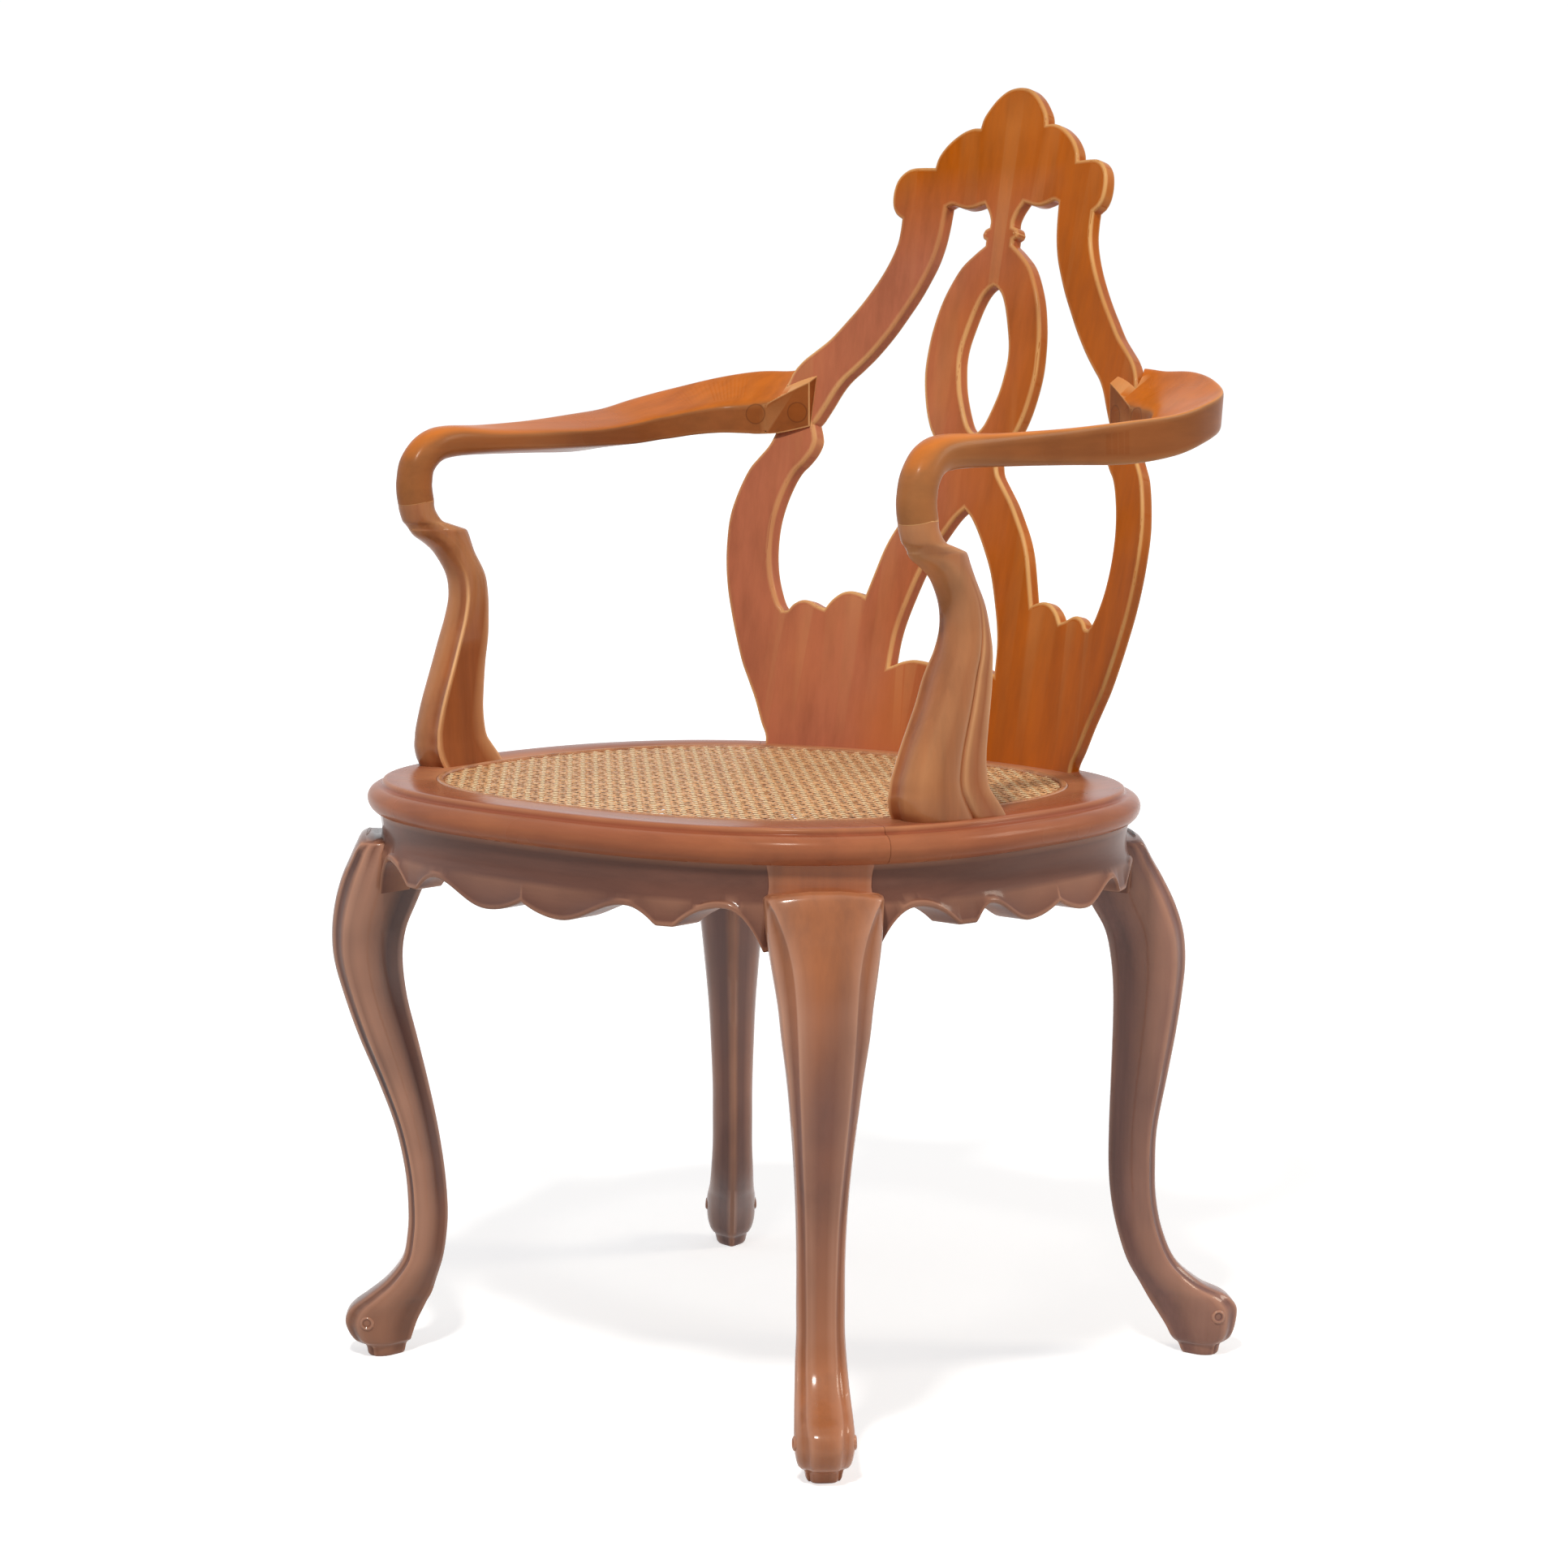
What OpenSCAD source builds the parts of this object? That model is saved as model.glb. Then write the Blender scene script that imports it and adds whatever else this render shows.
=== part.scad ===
// Open-armed side chair with cabriole legs, a woven cane seat and a pierced back.
// Millimetres. +X is the right-hand side seen from the front, -Y is the front, Z is up.

/* [Seat] */
// Height of the seat's flat ring above the floor
seat_h = 450; // [430:1:480]
// Half width of the seat over its nosing
seat_half_w = 287; // [283:1:291]
// Half depth of the seat over its nosing
seat_half_d = 245; // [242:1:249]
// How square the seat's plan is: 2 is an oval, larger is squarer
seat_square = 2.6; // [2.5:0.05:2.7]
// Middle of the seat's plan behind the part's origin, negative is forward
seat_mid_y = -46; // [-49:1:-43]
// Thickness of the moulded frame
frame_t = 25; // [22:1:28]
// Width of the frame beside the cane
ring_side = 63; // [59:1:69]
// Width of the frame in front of and behind the cane
ring_end = 52; // [49:1:57]
// Width of the groove that holds the spline
groove_w = 5; // [4:0.5:6]
// Depth of the groove that holds the spline
groove_d = 7; // [5:0.5:9]
// Width of the lip that carries the edge of the cane
lip_w = 5; // [4:0.5:7]

/* [Cane] */
// Thickness of the woven sheet
cane_t = 1.6; // [1.2:0.1:2]
// Distance between neighbouring gaps of the weave
cane_pitch = 24; // [23:0.5:30]
// Radius of one eight-sided gap
cane_gap_r = 7; // [4:0.5:9]
// Height of the spline's crown above the flat ring
spline_proud = 0.6; // [0:0.1:1.5]

/* [Aprons and legs] */
// How far the aprons stand in from the nosing
apron_setback = 8; // [6:1:10]
// Thickness of the aprons
apron_t = 20; // [16:1:24]
// Drop of the lobes below the moulded frame
lobe_drop = 49; // [46:1:54]
// Drop of the arches below the moulded frame
arch_drop = 33; // [31:1:38]
// Inner side faces of the front legs, in from the nosing
front_leg_side = 96; // [93:1:99]
// Inner side faces of the rear legs, in from the nosing
rear_leg_side = 123; // [120:1:126]
// Rear faces of the front legs, in from the nosing
front_leg_end = 101; // [98:1:104]
// Front faces of the rear legs, in from the nosing
rear_leg_end = 74; // [71:1:77]
// Length of the tenons at the apron ends
tenon_l = 18; // [10:1:20]
// Thickness of the tenons
tenon_t = 9; // [6:1:10]
// Feet of the front legs, in from the nosing at the side
front_foot_side = 62; // [57:1:67]
// Feet of the front legs, in from the nosing in front
front_foot_end = 71; // [66:1:76]
// Feet of the rear legs, in from the nosing at the side
rear_foot_side = 40; // [36:1:44]
// Feet of the rear legs, out from the nosing behind
rear_foot_end = 3; // [0:1:7]

/* [Back] */
// Length of the back panel along its slope
back_l = 543; // [520:1:560]
// Thickness of the back panel
back_t = 13; // [11:1:16]
// Backward lean of the panel in degrees
back_rake = 11.4; // [10:0.2:13]
// Radius of the panel's hollow front face
back_r = 496; // [480:1:520]
// Front face of the panel where it meets the seat, in from the nosing behind
back_inset = 28; // [26:1:30]
// Depth of the panel's tongue in the seat frame
back_tongue = 14; // [8:1:18]
// From the tongue's end to the middle of the rear joint's dowel, sideways
tongue_gap = 17; // [16:1:30]

/* [Arms] */
// Middle of the arm posts, in from the nosing
post_inset = 42; // [40:1:44]
// Middle of the post's foot, in from the nosing in front
post_end = 177; // [174:1:180]
// Height of the joint between post and arm above the seat
arm_rise = 205; // [195:1:215]
// Radius of the dowels between post and arm
dowel_r = 5; // [4:0.5:6]
// Length of the dowels between post and arm
dowel_l = 40; // [30:1:44]
// Radius of the round tenon under the post
post_tenon_r = 9; // [7:0.5:11]
// Length of the round tenon under the post
post_tenon_l = 20; // [14:1:22]

/* [Fixings] */
// Shank radius of the screws
screw_r = 2; // [1.5:0.25:2.5]
// Head radius of the screws
screw_head_r = 4.5; // [4:0.25:5]
// Head height of the screws
screw_head_h = 3; // [2:0.5:4]
// Length of the screws from the corner braces into the frame
brace_screw_l = 30; // [26:1:34]
// Length of the screws from the back panel into the arms
arm_screw_l = 18; // [16:1:20]
// Height of the corner braces
brace_h = 20; // [16:1:24]
// Radius of the dowels across the frame's joints
frame_dowel_r = 4; // [3:0.5:5]
// Length of the dowels across the frame's joints
frame_dowel_l = 36; // [24:1:44]
// How far the frame's front joints lie behind the front legs' rear faces
joint_behind = 1; // [0:1:6]
// How far the frame's rear joints lie outside the rear legs' inner side faces
joint_past = 16; // [10:1:22]
// Screws in the braces, in from the aprons' inner faces
screw_edge = 10; // [8:1:12]

/* [Hidden] */

wood = [0.55, 0.30, 0.20];
wood_orange = [0.72, 0.40, 0.16];
wood_dark = [0.42, 0.25, 0.19];
cane_colour = [0.85, 0.66, 0.45];
steel = [0.6, 0.6, 0.6];

frame_z = seat_h - frame_t;
cane_half_w = seat_half_w - ring_side;
cane_half_d = seat_half_d - ring_end;
apron_half_w = seat_half_w - apron_setback;
apron_half_d = seat_half_d - apron_setback;
front_apron_half = seat_half_w - front_leg_side;
rear_apron_half = seat_half_w - rear_leg_side;
front_leg_face = seat_half_d - front_leg_end;
rear_leg_face = seat_half_d - rear_leg_end;
front_foot_x = seat_half_w - front_foot_side;
front_foot_y = seat_half_d - front_foot_end - seat_mid_y;
rear_foot_x = seat_half_w - rear_foot_side;
rear_foot_y = seat_half_d + rear_foot_end + seat_mid_y;
back_y = seat_half_d - back_inset + seat_mid_y;
post_x = seat_half_w - post_inset;
post_y = seat_half_d - post_end - seat_mid_y;
arm_joint_h = seat_h + arm_rise;
// Longer than any piece, for the tools that cut
beyond = seat_h + back_l;
// Clearance of pieces that only lie beside each other
slack = 0.3;

// One point of a rounded-square plan with its middle on the seat's middle, at an angle from +X
function plan_point(half_w, half_d, angle) =
    let(c = cos(angle), s = sin(angle),
        r = pow(pow(abs(c) / half_w, seat_square) + pow(abs(s) / half_d, seat_square), -1 / seat_square))
    [r * c, seat_mid_y + r * s];

// The same plan as a height over x, measured from the seat's middle
function plan_rise(half_w, half_d, x) =
    half_d * pow(1 - pow(min(abs(x) / half_w, 1), seat_square), 1 / seat_square);

// Angles of the joints between the frame's four members, from +X about the seat's middle
joint_front = -atan2(front_leg_face - joint_behind,
    plan_rise(seat_half_d, seat_half_w, front_leg_face - joint_behind));
joint_rear = atan2(plan_rise(seat_half_w, seat_half_d, rear_apron_half + joint_past),
    rear_apron_half + joint_past);

function unit(v) = v / norm(v);

// Triangles between rings of m points each, with a flat cap at both ends
function tube_faces(rings, m) = concat(
    [for (k = [0 : rings - 2], j = [0 : m - 1]) [k * m + j, (k + 1) * m + j, k * m + (j + 1) % m]],
    [for (k = [0 : rings - 2], j = [0 : m - 1])
        [k * m + (j + 1) % m, (k + 1) * m + j, (k + 1) * m + (j + 1) % m]],
    [[for (j = [0 : m - 1]) j]],
    [[for (j = [m - 1 : -1 : 0]) (rings - 1) * m + j]]);

module skin(rings) {
    m = len(rings[0]);
    polyhedron(points = [for (ring = rings) each ring], faces = tube_faces(len(rings), m), convexity = 10);
}

module mirrored_x(on) {
    if (on) mirror([1, 0, 0]) children();
    else children();
}

// Smooth interpolation through a table's rows, at u counted in rows
function row_at(rows, i) = rows[max(0, min(len(rows) - 1, i))];
function smooth_row(rows, u) =
    let(i = min(floor(u), len(rows) - 2), f = u - i,
        p0 = row_at(rows, i - 1), p1 = row_at(rows, i), p2 = row_at(rows, i + 1), p3 = row_at(rows, i + 2))
    0.5 * (2 * p1 + (p2 - p0) * f + (2 * p0 - 5 * p1 + 4 * p2 - p3) * f * f
        + (3 * p1 - p0 - 3 * p2 + p3) * f * f * f);

// Moulded frame of the seat
// Outer moulding as inset from the nosing and height below the ring: flat, quirk, then a fat torus
nosing = [[14, 0], [12.2, -0.5], [11.2, -2], [11, -4.2], [9.5, -5], [6.5, -5.4], [3.2, -7.2], [1, -10],
    [0, -13.5], [0.8, -17.5], [3, -21], [6.5, -24], [9, -25]];

function frame_ring(angle) =
    let(outer = plan_point(seat_half_w, seat_half_d, angle), inner = plan_point(cane_half_w, cane_half_d, angle),
        inward = unit(inner - outer),
        lip_z = seat_h - cane_t - 0.4)
    concat(
        [for (p = nosing) let(q = outer + inward * p[0]) [q[0], q[1], seat_h + max(p[1], -frame_t)]],
        [for (p = [[2, frame_z], [0, frame_z + 2], [0, lip_z - 1], [1, lip_z], [lip_w, lip_z],
                [lip_w, seat_h - groove_d], [lip_w + groove_w, seat_h - groove_d], [lip_w + groove_w, seat_h]])
            let(q = inner - inward * p[0]) [q[0], q[1], p[1]]]);

function member_angles(from, to, steps) = [for (i = [0 : steps]) from + (to - from) * i / steps];

// A point in the ring at a distance outside the cane opening
function ring_point(angle, out) =
    let(outer = plan_point(seat_half_w, seat_half_d, angle), inner = plan_point(cane_half_w, cane_half_d, angle))
    inner + unit(outer - inner) * out;

front_angles = member_angles(-180 - joint_front, joint_front, 26);
side_angles = member_angles(joint_front, joint_rear, 18);
rear_angles = member_angles(joint_rear, 180 - joint_rear, 20);
left_angles = member_angles(180 - joint_rear, 180 - joint_front, 18);
all_angles = concat([for (i = [0 : 25]) front_angles[i]], [for (i = [0 : 17]) side_angles[i]],
    [for (i = [0 : 19]) rear_angles[i]], [for (i = [0 : 17]) left_angles[i]]);

module frame_member(angles) {
    skin([for (a = angles) frame_ring(a)]);
}

// Dowel across one joint of the frame, square to the joint's face
module frame_dowel(angle) {
    outer = plan_point(seat_half_w, seat_half_d, angle);
    middle = ring_point(angle, dowel_in_ring);
    across = unit(outer - middle);
    translate([middle[0], middle[1], seat_h - 14])
        rotate([0, 0, atan2(across[1], across[0])])
            rotate([90, 0, 0])
                cylinder(r = frame_dowel_r, h = frame_dowel_l, center = true, $fn = 24);
}

module frame_dowels() {
    color(wood)
        for (a = [joint_front, joint_rear, 180 - joint_rear, 180 - joint_front]) frame_dowel(a);
}

module seat_rail_front() {
    color(wood) difference() {
        frame_member(front_angles);
        frame_dowel(joint_front);
        frame_dowel(180 - joint_front);
        brace_screw_holes();
    }
}

module seat_rail_rear() {
    color(wood) difference() {
        frame_member(rear_angles);
        frame_dowel(joint_rear);
        frame_dowel(180 - joint_rear);
        back_tongue_solid();
        brace_screw_holes();
    }
}

module seat_rail_side(angles, side) {
    color(wood) difference() {
        frame_member(angles);
        frame_dowel(side > 0 ? joint_front : 180 - joint_front);
        frame_dowel(side > 0 ? joint_rear : 180 - joint_rear);
        post_tenon(side);
        brace_screw_holes();
    }
}

module seat_rail_right() {
    seat_rail_side(side_angles, 1);
}

module seat_rail_left() {
    seat_rail_side(left_angles, -1);
}

// Cane sheet as a flat net: its edge lies on the lip as far as the spline
module cane_outline() {
    polygon([for (a = all_angles) ring_point(a, lip_w)]);
}

module cane_web() {
    reach_x = floor((cane_half_w - cane_gap_r) / cane_pitch);
    reach_y = floor((cane_half_d - cane_gap_r) / cane_pitch);
    color(cane_colour)
        translate([0, 0, seat_h - cane_t - 0.4])
            linear_extrude(cane_t)
                difference() {
                    cane_outline();
                    for (i = [-reach_x : reach_x], j = [-reach_y : reach_y])
                        if (pow(abs(i) * cane_pitch / (cane_half_w - cane_gap_r - 2), seat_square)
                                + pow(abs(j) * cane_pitch / (cane_half_d - cane_gap_r - 2), seat_square) < 1)
                            translate([i * cane_pitch, seat_mid_y + j * cane_pitch])
                                rotate(22.5) circle(r = cane_gap_r, $fn = 8);
                }
}

// Spline pressed into the groove round the cane
module cane_spline() {
    color(cane_colour)
        translate([0, 0, seat_h - groove_d])
            linear_extrude(groove_d + spline_proud)
                difference() {
                    polygon([for (a = all_angles) ring_point(a, lip_w + groove_w)]);
                    cane_outline();
                }
}

// Aprons
// Lower edge of an apron over its length, as key distances from its middle:
// lobe, arch, foot's two ends, bracket arch and the apron's end
front_keys = [37, 95, 120, 136, 172, 191];
side_keys = [34, 74, 87, 102, 134, 157.5];
cusp_z = frame_z - lobe_drop + 9;
lobe_z = frame_z - lobe_drop;
arch_z = frame_z - arch_drop;
foot_z = frame_z - lobe_drop + 4;
bracket_z = frame_z - arch_drop + 3;
apron_end_z = frame_z - arch_drop - 8;

function blend(a, b, t) = a + (b - a) * t;
function scallop(keys, s) =
    s < keys[0] ? blend(lobe_z, cusp_z, pow(1 - s / keys[0], 2)) :
    s < keys[1] ? blend(lobe_z, arch_z, (1 - cos(180 * (s - keys[0]) / (keys[1] - keys[0]))) / 2) :
    s < keys[2] ? blend(arch_z, foot_z, pow((s - keys[1]) / (keys[2] - keys[1]), 2)) :
    s < keys[3] ? foot_z :
    s < keys[4] ? blend(bracket_z, foot_z, pow(1 - (s - keys[3]) / (keys[4] - keys[3]), 2)) :
    blend(bracket_z, apron_end_z, pow((s - keys[4]) / (keys[5] - keys[4]), 2));

// Places along half an apron: each stretch of the edge in a few steps
function half_places(keys, half) =
    let(k = half / keys[5], stops = concat([0], keys))
    concat([for (i = [0 : 5], j = [0 : 4]) k * blend(stops[i], stops[i + 1], j / 5)], [half]);
function both_ways(list) = concat([for (i = [len(list) - 1 : -1 : 1]) -list[i]], list);

// Section of an apron: a shallow hollow above, a flare below; outward distance and height
function apron_section(bottom) = [[0, frame_z], [-1.5, frame_z - 10], [-1.5, frame_z - 18], [0, frame_z - 25],
    [2.5, frame_z - 31], [4, bottom + 1.5], [3, bottom], [-apron_t, bottom], [-apron_t, frame_z]];

// Front and rear aprons: sections at right angles to X. way is -1 in front, 1 behind
module cross_apron(half, keys, way) {
    skin([for (x = both_ways(half_places(keys, half)))
        let(k = keys[5] / half,
            outer = plan_rise(apron_half_w, apron_half_d, x),
            inner = plan_rise(apron_half_w - apron_t, apron_half_d - apron_t, x),
            ring = [for (p = apron_section(scallop(keys, abs(x) * k)))
                [x, seat_mid_y + way * (p[0] <= -apron_t ? inner : outer + p[0]), p[1]]])
        way < 0 ? ring : [for (i = [len(ring) - 1 : -1 : 0]) ring[i]]]);
}

// Side aprons: sections at right angles to Y, between the legs' inner faces
side_from = -front_leg_face;
side_to = rear_leg_face;
side_mid = (side_from + side_to) / 2;
side_half = (side_to - side_from) / 2;
module side_apron(side) {
    skin([for (s = both_ways(half_places(side_keys, side_half)))
        let(k = side_keys[5] / side_half, y = side_mid + s,
            outer = plan_rise(apron_half_d, apron_half_w, y),
            inner = plan_rise(apron_half_d - apron_t, apron_half_w - apron_t, y),
            ring = [for (p = apron_section(scallop(side_keys, abs(s) * k)))
                [side * (p[0] <= -apron_t ? inner : outer + p[0]), seat_mid_y + y, p[1]]])
        side > 0 ? ring : [for (i = [len(ring) - 1 : -1 : 0]) ring[i]]]);
}

tenon_drop = 6;
tenon_h = 24;
tenon_z = frame_z - tenon_drop - tenon_h;

// Tenons of the front and rear aprons
module cross_tenons(half, way) {
    y = seat_mid_y + way * (plan_rise(apron_half_w, apron_half_d, half + tenon_l) - apron_t / 2 - 2);
    for (side = [-1, 1])
        translate([side > 0 ? half - 1 : -half - tenon_l, y - tenon_t / 2, tenon_z])
            cube([tenon_l + 1, tenon_t, tenon_h]);
}

// Tenons of one side apron
module side_tenons(side) {
    for (end = [[side_from, -1], [side_to, 1]]) {
        x = plan_rise(apron_half_d, apron_half_w, abs(end[0]) + tenon_l) - apron_t / 2 - 2;
        y = seat_mid_y + end[0] + (end[1] > 0 ? -1 : -tenon_l);
        translate([side * x - tenon_t / 2, y, tenon_z - tenon_drop])
            cube([tenon_t, tenon_l + 1, tenon_h]);
    }
}

module apron_front() {
    color(wood_dark) union() {
        cross_apron(front_apron_half, front_keys, -1);
        cross_tenons(front_apron_half, -1);
    }
}

module apron_rear() {
    color(wood_dark) union() {
        cross_apron(rear_apron_half, front_keys, 1);
        cross_tenons(rear_apron_half, 1);
    }
}

module apron_right() {
    color(wood_dark) union() {
        side_apron(1);
        side_tenons(1);
    }
}

module apron_left() {
    color(wood_dark) union() {
        side_apron(-1);
        side_tenons(-1);
    }
}

// Legs
// Stations of a leg: height, front of the outline, back of it, half width, half width of the front facet.
// Heights are for a leg whose knee ends at knee_top; outline distances run outward from the foot's middle
knee_top = 409;
front_leg_rows = [[0, 12, -15, 12, 8], [9, 14, -17, 14, 9], [10, 21, -20, 17, 9], [17, 26, -22, 20, 10],
    [27, 29, -26, 21, 11], [37, 26, -31, 21, 12], [47, 14, -36, 20, 12], [60, -3, -41, 19, 11],
    [76, -15, -46, 18, 10], [95, -19, -49, 17, 10], [115, -20, -50, 17, 10], [145, -18, -48, 17, 10],
    [180, -11, -43, 18, 11], [215, 1, -36, 20, 13], [250, 15, -28, 23, 15], [280, 25, -21, 26, 18],
    [310, 33, -18, 30, 21], [333, 34, -21, 32, 23], [355, 31, -30, 36, 27], [375, 25, -38, 39, 31],
    [395, 16, -40, 40, 34], [409, 8, -40, 40, 35]];
rear_leg_rows = [[0, 12, -15, 12, 8], [9, 14, -18, 14, 9], [10, 19, -22, 17, 9], [20, 24, -27, 20, 10],
    [35, 26, -36, 21, 11], [46, 19, -43, 20, 12], [57, -2, -49, 19, 11], [75, -22, -59, 18, 10],
    [100, -33, -67, 17, 10], [125, -38, -72, 17, 10], [150, -39, -74, 17, 10], [180, -38, -74, 18, 11],
    [220, -31, -73, 20, 13], [255, -25, -72, 23, 15], [285, -21, -72, 26, 18], [310, -19, -74, 29, 21],
    [333, -21, -79, 32, 23], [355, -28, -91, 34, 26], [375, -39, -98, 36, 29], [395, -51, -100, 37, 31],
    [409, -57, -100, 37, 32]];
knee_z = frame_z - 16;

// One ring of a leg: facet in front, arrises, swelling sides, narrow back
function leg_ring(row) =
    let(z = row[0] * knee_z / knee_top, out = row[1], deep = row[1] - row[2], w = row[3], f = row[4],
        half = [[out, f * 0.5], [out - 0.04 * deep, f], [out - 0.14 * deep, blend(f, w, 0.6)],
            [out - 0.34 * deep, w], [out - 0.58 * deep, w * 0.84], [out - 0.82 * deep, w * 0.42],
            [out - deep, w * 0.12]])
    concat([for (p = half) [p[0], p[1], z]], [for (i = [len(half) - 1 : -1 : 0]) [half[i][0], -half[i][1], z]]);

// Square post at the top of a leg, with the aprons' curve outside
module leg_block(face_x, face_y, way) {
    corner = [face_x, seat_mid_y + way * face_y];
    from = atan2(way * plan_rise(apron_half_w, apron_half_d, face_x), face_x);
    to = atan2(way * face_y, plan_rise(apron_half_d, apron_half_w, face_y));
    translate([0, 0, frame_z - 48])
        linear_extrude(48)
            polygon(concat([corner], [for (i = [0 : 6]) plan_point(apron_half_w, apron_half_d, blend(from, to, i / 6))]));
}

// The space that a leg may fill: everything below the aprons, and only its own corner beside them
module leg_space(face_x, face_y, way) {
    translate([0, -beyond, -1]) cube([beyond, 2 * beyond, foot_z - 3 - 0.4 + 1]);
    translate([face_x, way > 0 ? seat_mid_y + face_y : seat_mid_y - face_y - beyond, 0])
        cube([beyond, beyond, frame_z]);
}

module leg(rows, foot, heading, face_x, face_y, way) {
    difference() {
        union() {
            intersection() {
                translate([foot[0], foot[1], 0])
                    rotate([0, 0, heading])
                        skin([for (row = rows) leg_ring(row)]);
                leg_space(face_x, face_y, way);
            }
            leg_block(face_x, face_y, way);
        }
        if (way < 0) cross_tenons(front_apron_half, -1);
        else cross_tenons(rear_apron_half, 1);
        side_tenons(1);
    }
}

module front_leg() {
    leg(front_leg_rows, [front_foot_x, -front_foot_y], -45, front_apron_half, front_leg_face, -1);
}

module rear_leg() {
    leg(rear_leg_rows, [rear_foot_x, rear_foot_y], 46, rear_apron_half, rear_leg_face, 1);
}

module leg_front_right() {
    color(wood) front_leg();
}

module leg_front_left() {
    color(wood) mirrored_x(true) front_leg();
}

module leg_rear_right() {
    color(wood) rear_leg();
}

module leg_rear_left() {
    color(wood) mirrored_x(true) rear_leg();
}

// Corner braces, notched round the leg posts and screwed up into the frame
brace_reach = 24;
brace_z = frame_z - brace_h;

module brace_plan(face_x, face_y, way) {
    corner_sum = face_x + face_y;
    difference() {
        intersection() {
            polygon([for (i = [0 : 16])
                plan_point(apron_half_w - apron_t - slack, apron_half_d - apron_t - slack, way * blend(-1, 91, i / 16))]);
            translate([0, seat_mid_y])
                polygon([[corner_sum - brace_reach * sqrt(2), 0], [beyond, 0], [beyond, way * beyond],
                    [0, way * beyond], [0, way * (corner_sum - brace_reach * sqrt(2))]]);
        }
        translate([face_x, way > 0 ? seat_mid_y + face_y : seat_mid_y - face_y - beyond]) square(beyond);
    }
}

// Screws beside each leg, as places from the seat's middle, at a distance on from the leg's face
front_screw_on = 70;
front_side_screw_on = 50;
rear_screw_on = 50;
rear_side_screw_on = 80;
function by_end(x, way) =
    [x, way * (plan_rise(apron_half_w - apron_t, apron_half_d - apron_t, x) - screw_edge)];
function by_side(y, way) =
    [plan_rise(apron_half_d - apron_t, apron_half_w - apron_t, y) - screw_edge, way * y];
brace_screw_places = [by_end(front_apron_half - front_screw_on, -1),
    by_side(front_leg_face - front_side_screw_on, -1),
    by_end(rear_apron_half - rear_screw_on, 1), by_side(rear_leg_face - rear_side_screw_on, 1)];

module screw_up(place) {
    translate([place[0], seat_mid_y + place[1], brace_z]) {
        cylinder(r = screw_head_r, h = screw_head_h, $fn = 24);
        translate([0, 0, screw_head_h]) cylinder(r = screw_r, h = brace_screw_l - screw_head_h, $fn = 24);
    }
}

module brace_screw_holes() {
    for (side = [0, 1])
        mirror([side, 0, 0])
            for (place = brace_screw_places) screw_up(place);
}

module brace_screws() {
    color(steel) brace_screw_holes();
}

module brace(face_x, face_y, way, left) {
    color(wood_dark) difference() {
        mirrored_x(left)
            translate([0, 0, brace_z]) linear_extrude(brace_h) brace_plan(face_x, face_y, way);
        brace_screw_holes();
    }
}

module brace_front_left() {
    brace(front_apron_half, front_leg_face, -1, true);
}

module brace_front_right() {
    brace(front_apron_half, front_leg_face, -1, false);
}

module brace_rear_left() {
    brace(rear_apron_half, rear_leg_face, 1, true);
}

module brace_rear_right() {
    brace(rear_apron_half, rear_leg_face, 1, false);
}

// Back panel: one bent board, cut through
// Outline of its right half, as distance round the curve and height up the slope
outline_l = 543;
half_outline = [[160, 0], [166, 12], [174, 30], [182, 45], [190, 60], [198, 80], [205, 100], [211, 120],
    [215, 140], [217, 160], [217, 180], [213, 200], [206, 220], [198, 232], [191, 242], [186, 255], [184, 270],
    [183, 285], [179, 302], [171, 314], [160, 324], [149, 334], [139, 346], [128, 360], [119, 373], [110, 388],
    [103, 403], [99, 416], [98, 427], [98, 436], [104, 440], [108, 447], [109, 457], [107, 467], [102, 474],
    [95, 478], [86, 479], [73, 479], [71, 487], [66, 495], [59, 502], [50, 508], [41, 511], [34, 511],
    [32, 519], [27, 527], [20, 535], [11, 541]];
// Tall opening between the right stile and the crossing strands
tall_opening = [[20, 448], [24, 447], [31, 445], [38, 444.5], [45, 446], [52, 448], [57, 446], [58, 430],
    [60, 415], [64, 400], [70, 386], [77, 372], [86, 357], [97, 340], [110, 323], [122, 310], [131, 301],
    [138, 291], [145, 277], [151, 266], [154, 262], [151, 254], [150, 247], [153, 238], [159, 229], [165, 222],
    [170, 212], [175, 196], [178, 178], [178, 160], [176, 144], [172, 129], [165, 113], [159, 106], [155, 107],
    [151, 112], [144, 116], [137, 116], [129, 113], [122, 111], [116, 119], [108, 125], [100, 127], [92, 126],
    [86, 124], [80, 144], [74, 163], [67, 178], [58, 192], [49, 205], [38, 218], [30, 228], [27, 237],
    [31, 247], [42, 259], [49, 273], [54, 290], [57, 308], [57, 325], [55, 344], [50, 365], [43, 382],
    [34, 397], [22, 408], [14, 414], [14, 418], [17, 420], [18, 423], [16, 427], [12, 429], [12, 434], [15, 441]];
// Upper opening inside the loop, right half
loop_opening = [[0, 381], [5, 378], [10, 372], [15, 361], [20, 345], [23, 333], [24, 322], [23, 311],
    [20, 296], [15, 282], [9, 269], [4, 263], [0, 261]];
// Lower opening with the two lobes, right half
almond_opening = [[0, 199], [8, 192], [17, 180], [27, 164], [36, 147], [44, 125], [50, 105], [53, 88],
    [54, 68], [49, 70], [42, 73], [33, 75], [25, 75], [17, 74], [9, 72], [4, 69], [0, 67]];

// A point of the outline on the flat blank: round the curve becomes straight across
function unrolled(p) = [back_r * sin(p[0] / back_r * 180 / PI), p[1] * back_l / outline_l];
function flat_points(list) = [for (p = list) unrolled(p)];
function flipped(list) = [for (i = [len(list) - 1 : -1 : 0]) [-list[i][0], list[i][1]]];

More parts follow.
